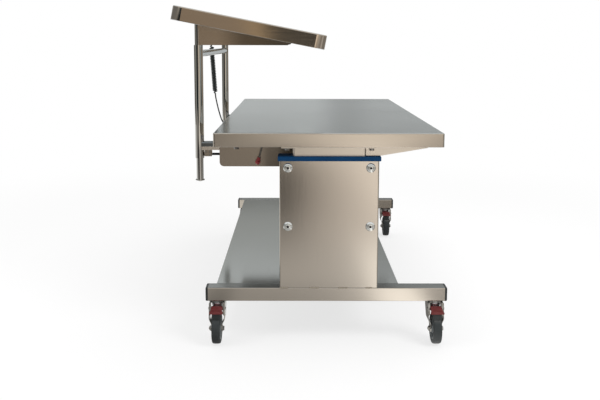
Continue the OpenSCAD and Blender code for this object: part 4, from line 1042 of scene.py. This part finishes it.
def floor_tones(tree, across, stops, tint):
    low, high = stops[0][0], stops[-1][0]
    return tones(tree, (across - low) / (high - low),
                 [((x - low) / (high - low), shade(tint, level)) for x, level in stops])


def studio_floor():
    floor = add_object("floor", bpy.data.meshes.new("floor"))
    corners = [(x * FLOOR_HALF, y * FLOOR_HALF, 0) for x, y in ((-1, -1), (1, -1), (1, 1), (-1, 1))]
    floor.data.from_pydata(corners, [], [(0, 1, 2, 3)])
    f = Finish("studio_floor", Base_Color=FLOOR_PAINT, Roughness=0.9)
    across, along = (f.node("SeparateXYZ", {0: f.place()}, out=axis) for axis in "XY")
    across = across - TABLE_X / 1000
    from_table = (across ** 2 + along ** 2) ** 0.5
    seen = f.node("Emission", {"Color": WHITE, "Strength": 1.0})
    colour = f.mix(along.ramp(*FAR_TO_MIDDLE), floor_tones(f.tree, across, FAR, FAR_TINT),
                   floor_tones(f.tree, across, MIDDLE, MIDDLE_TINT))
    colour = f.mix(along.ramp(*MIDDLE_TO_NEAR), colour, floor_tones(f.tree, across, NEAR, NEAR_TINT))
    glow = along.ramp(*GLOW_FROM) * (1 - along.ramp(*GLOW_TO)) * GLOW_SHARE
    colour = f.mix(glow, colour, GLOW)
    # Painted light to the left and painted shadow to the right, on the floor under the table as mirrors see
    # it
    under = f.mix(across.ramp(*LEFT_TO_RIGHT), UNDER_PAINTED_LIGHT, UNDER_PAINTED_SHADOW)
    colour = f.mix(along.ramp(*NEAR_TO_UNDER), colour, under)
    mirrored = f.node("Emission", {"Color": colour, "Strength": 1.0})
    away = from_table.ramp(FADE_FROM, FADE_TO) * (1 - LEAST_FADE) + LEAST_FADE
    fade = f.node("LightPath", {}, out="Is Camera Ray") * away
    show = f.node("MixShader", {0: fade, 1: Wire(f.tree, f.shader.outputs[0]), 2: seen})
    show = f.node("MixShader", {0: f.node("LightPath", {}, out="Is Glossy Ray"), 1: show, 2: mirrored})
    f.tree.links.new(show.socket, f.tree.nodes["Material Output"].inputs["Surface"])
    floor.data.materials.append(f.material)


def studio_air():
    """White for the camera, plain grey for lighting, and the room's tones for mirrors.

    The ramps are of a ray's direction: x to the right, y away from the camera, z up."""
    world = bpy.data.worlds.new("studio")
    scene.world = world
    world.use_nodes = True
    tree = world.node_tree

    def node(kind, sockets, out=0, **settings):
        made = tree.nodes.new("ShaderNode" + kind)
        for name, value in settings.items():
            setattr(made, name, value)
        for name, value in sockets.items():
            feed(tree, made.inputs[name], value)
        return Wire(tree, made.outputs[out])

    def mix(share, first, second):
        return node("Mix", {0: share, 6: first, 7: second}, out=2, data_type="RGBA")

    direction = node("TexCoord", {}, "Generated")
    x, y, z = (node("SeparateXYZ", {0: direction}, axis) for axis in "XYZ")
    wall = mix(z.ramp(-0.08, -0.04), tones(tree, x * 0.5 + 0.5, LOW_WALL), tones(tree, x * 0.5 + 0.5, WALL))
    beyond = tones(tree, z, BEYOND)
    darker = x.ramp(0.02, 0.06) * 0.25 - x.ramp(0.07, 0.11) * (1 - z.ramp(0.15, 0.2)) * 0.13
    beyond = mix(darker, beyond, (0, 0, 0))
    beyond = mix(x.ramp(0.35, 0.6), beyond, BEYOND_RIGHT)
    beyond = mix(x.ramp(-0.55, -0.1), BEYOND_LEFT, beyond)
    room = mix(y.ramp(-0.25, 0.25), wall, beyond)
    sides = mix(x.ramp(-0.85, -0.65), LEFT_SIDE, OTHER_SIDES)
    room = mix(z.ramp(0.08, 0.2) * (1 - y.ramp(0.7, 0.9)), room, sides)
    room = mix(z.ramp(0.35, 0.85), room, CEILING)
    colour = mix(node("LightPath", {}, "Is Glossy Ray"), AIR, room)
    colour = mix(node("LightPath", {}, "Is Camera Ray"), colour, WHITE)
    feed(tree, tree.nodes["Background"].inputs["Color"], colour)


def lamp(name, place, size, power):
    data = bpy.data.lights.new(name, "AREA")
    data.shape = "RECTANGLE"
    data.size, data.size_y = size
    data.energy = power
    obj = add_object(name, data)
    obj.visible_glossy = False
    toward = (Vector(LAMP_AIM) - Vector(place)).to_track_quat("-Z", "Y").to_matrix().to_4x4()
    obj.matrix_world = Matrix.Translation(place) @ toward


studio_floor()
studio_air()
for entry in LAMPS:
    lamp(*entry)

for shape in (cup_shape, socket_shape, CORE_RIB, PEDAL_RIB, PIN_HEAD, BEAD):
    bpy.data.objects.remove(shape)
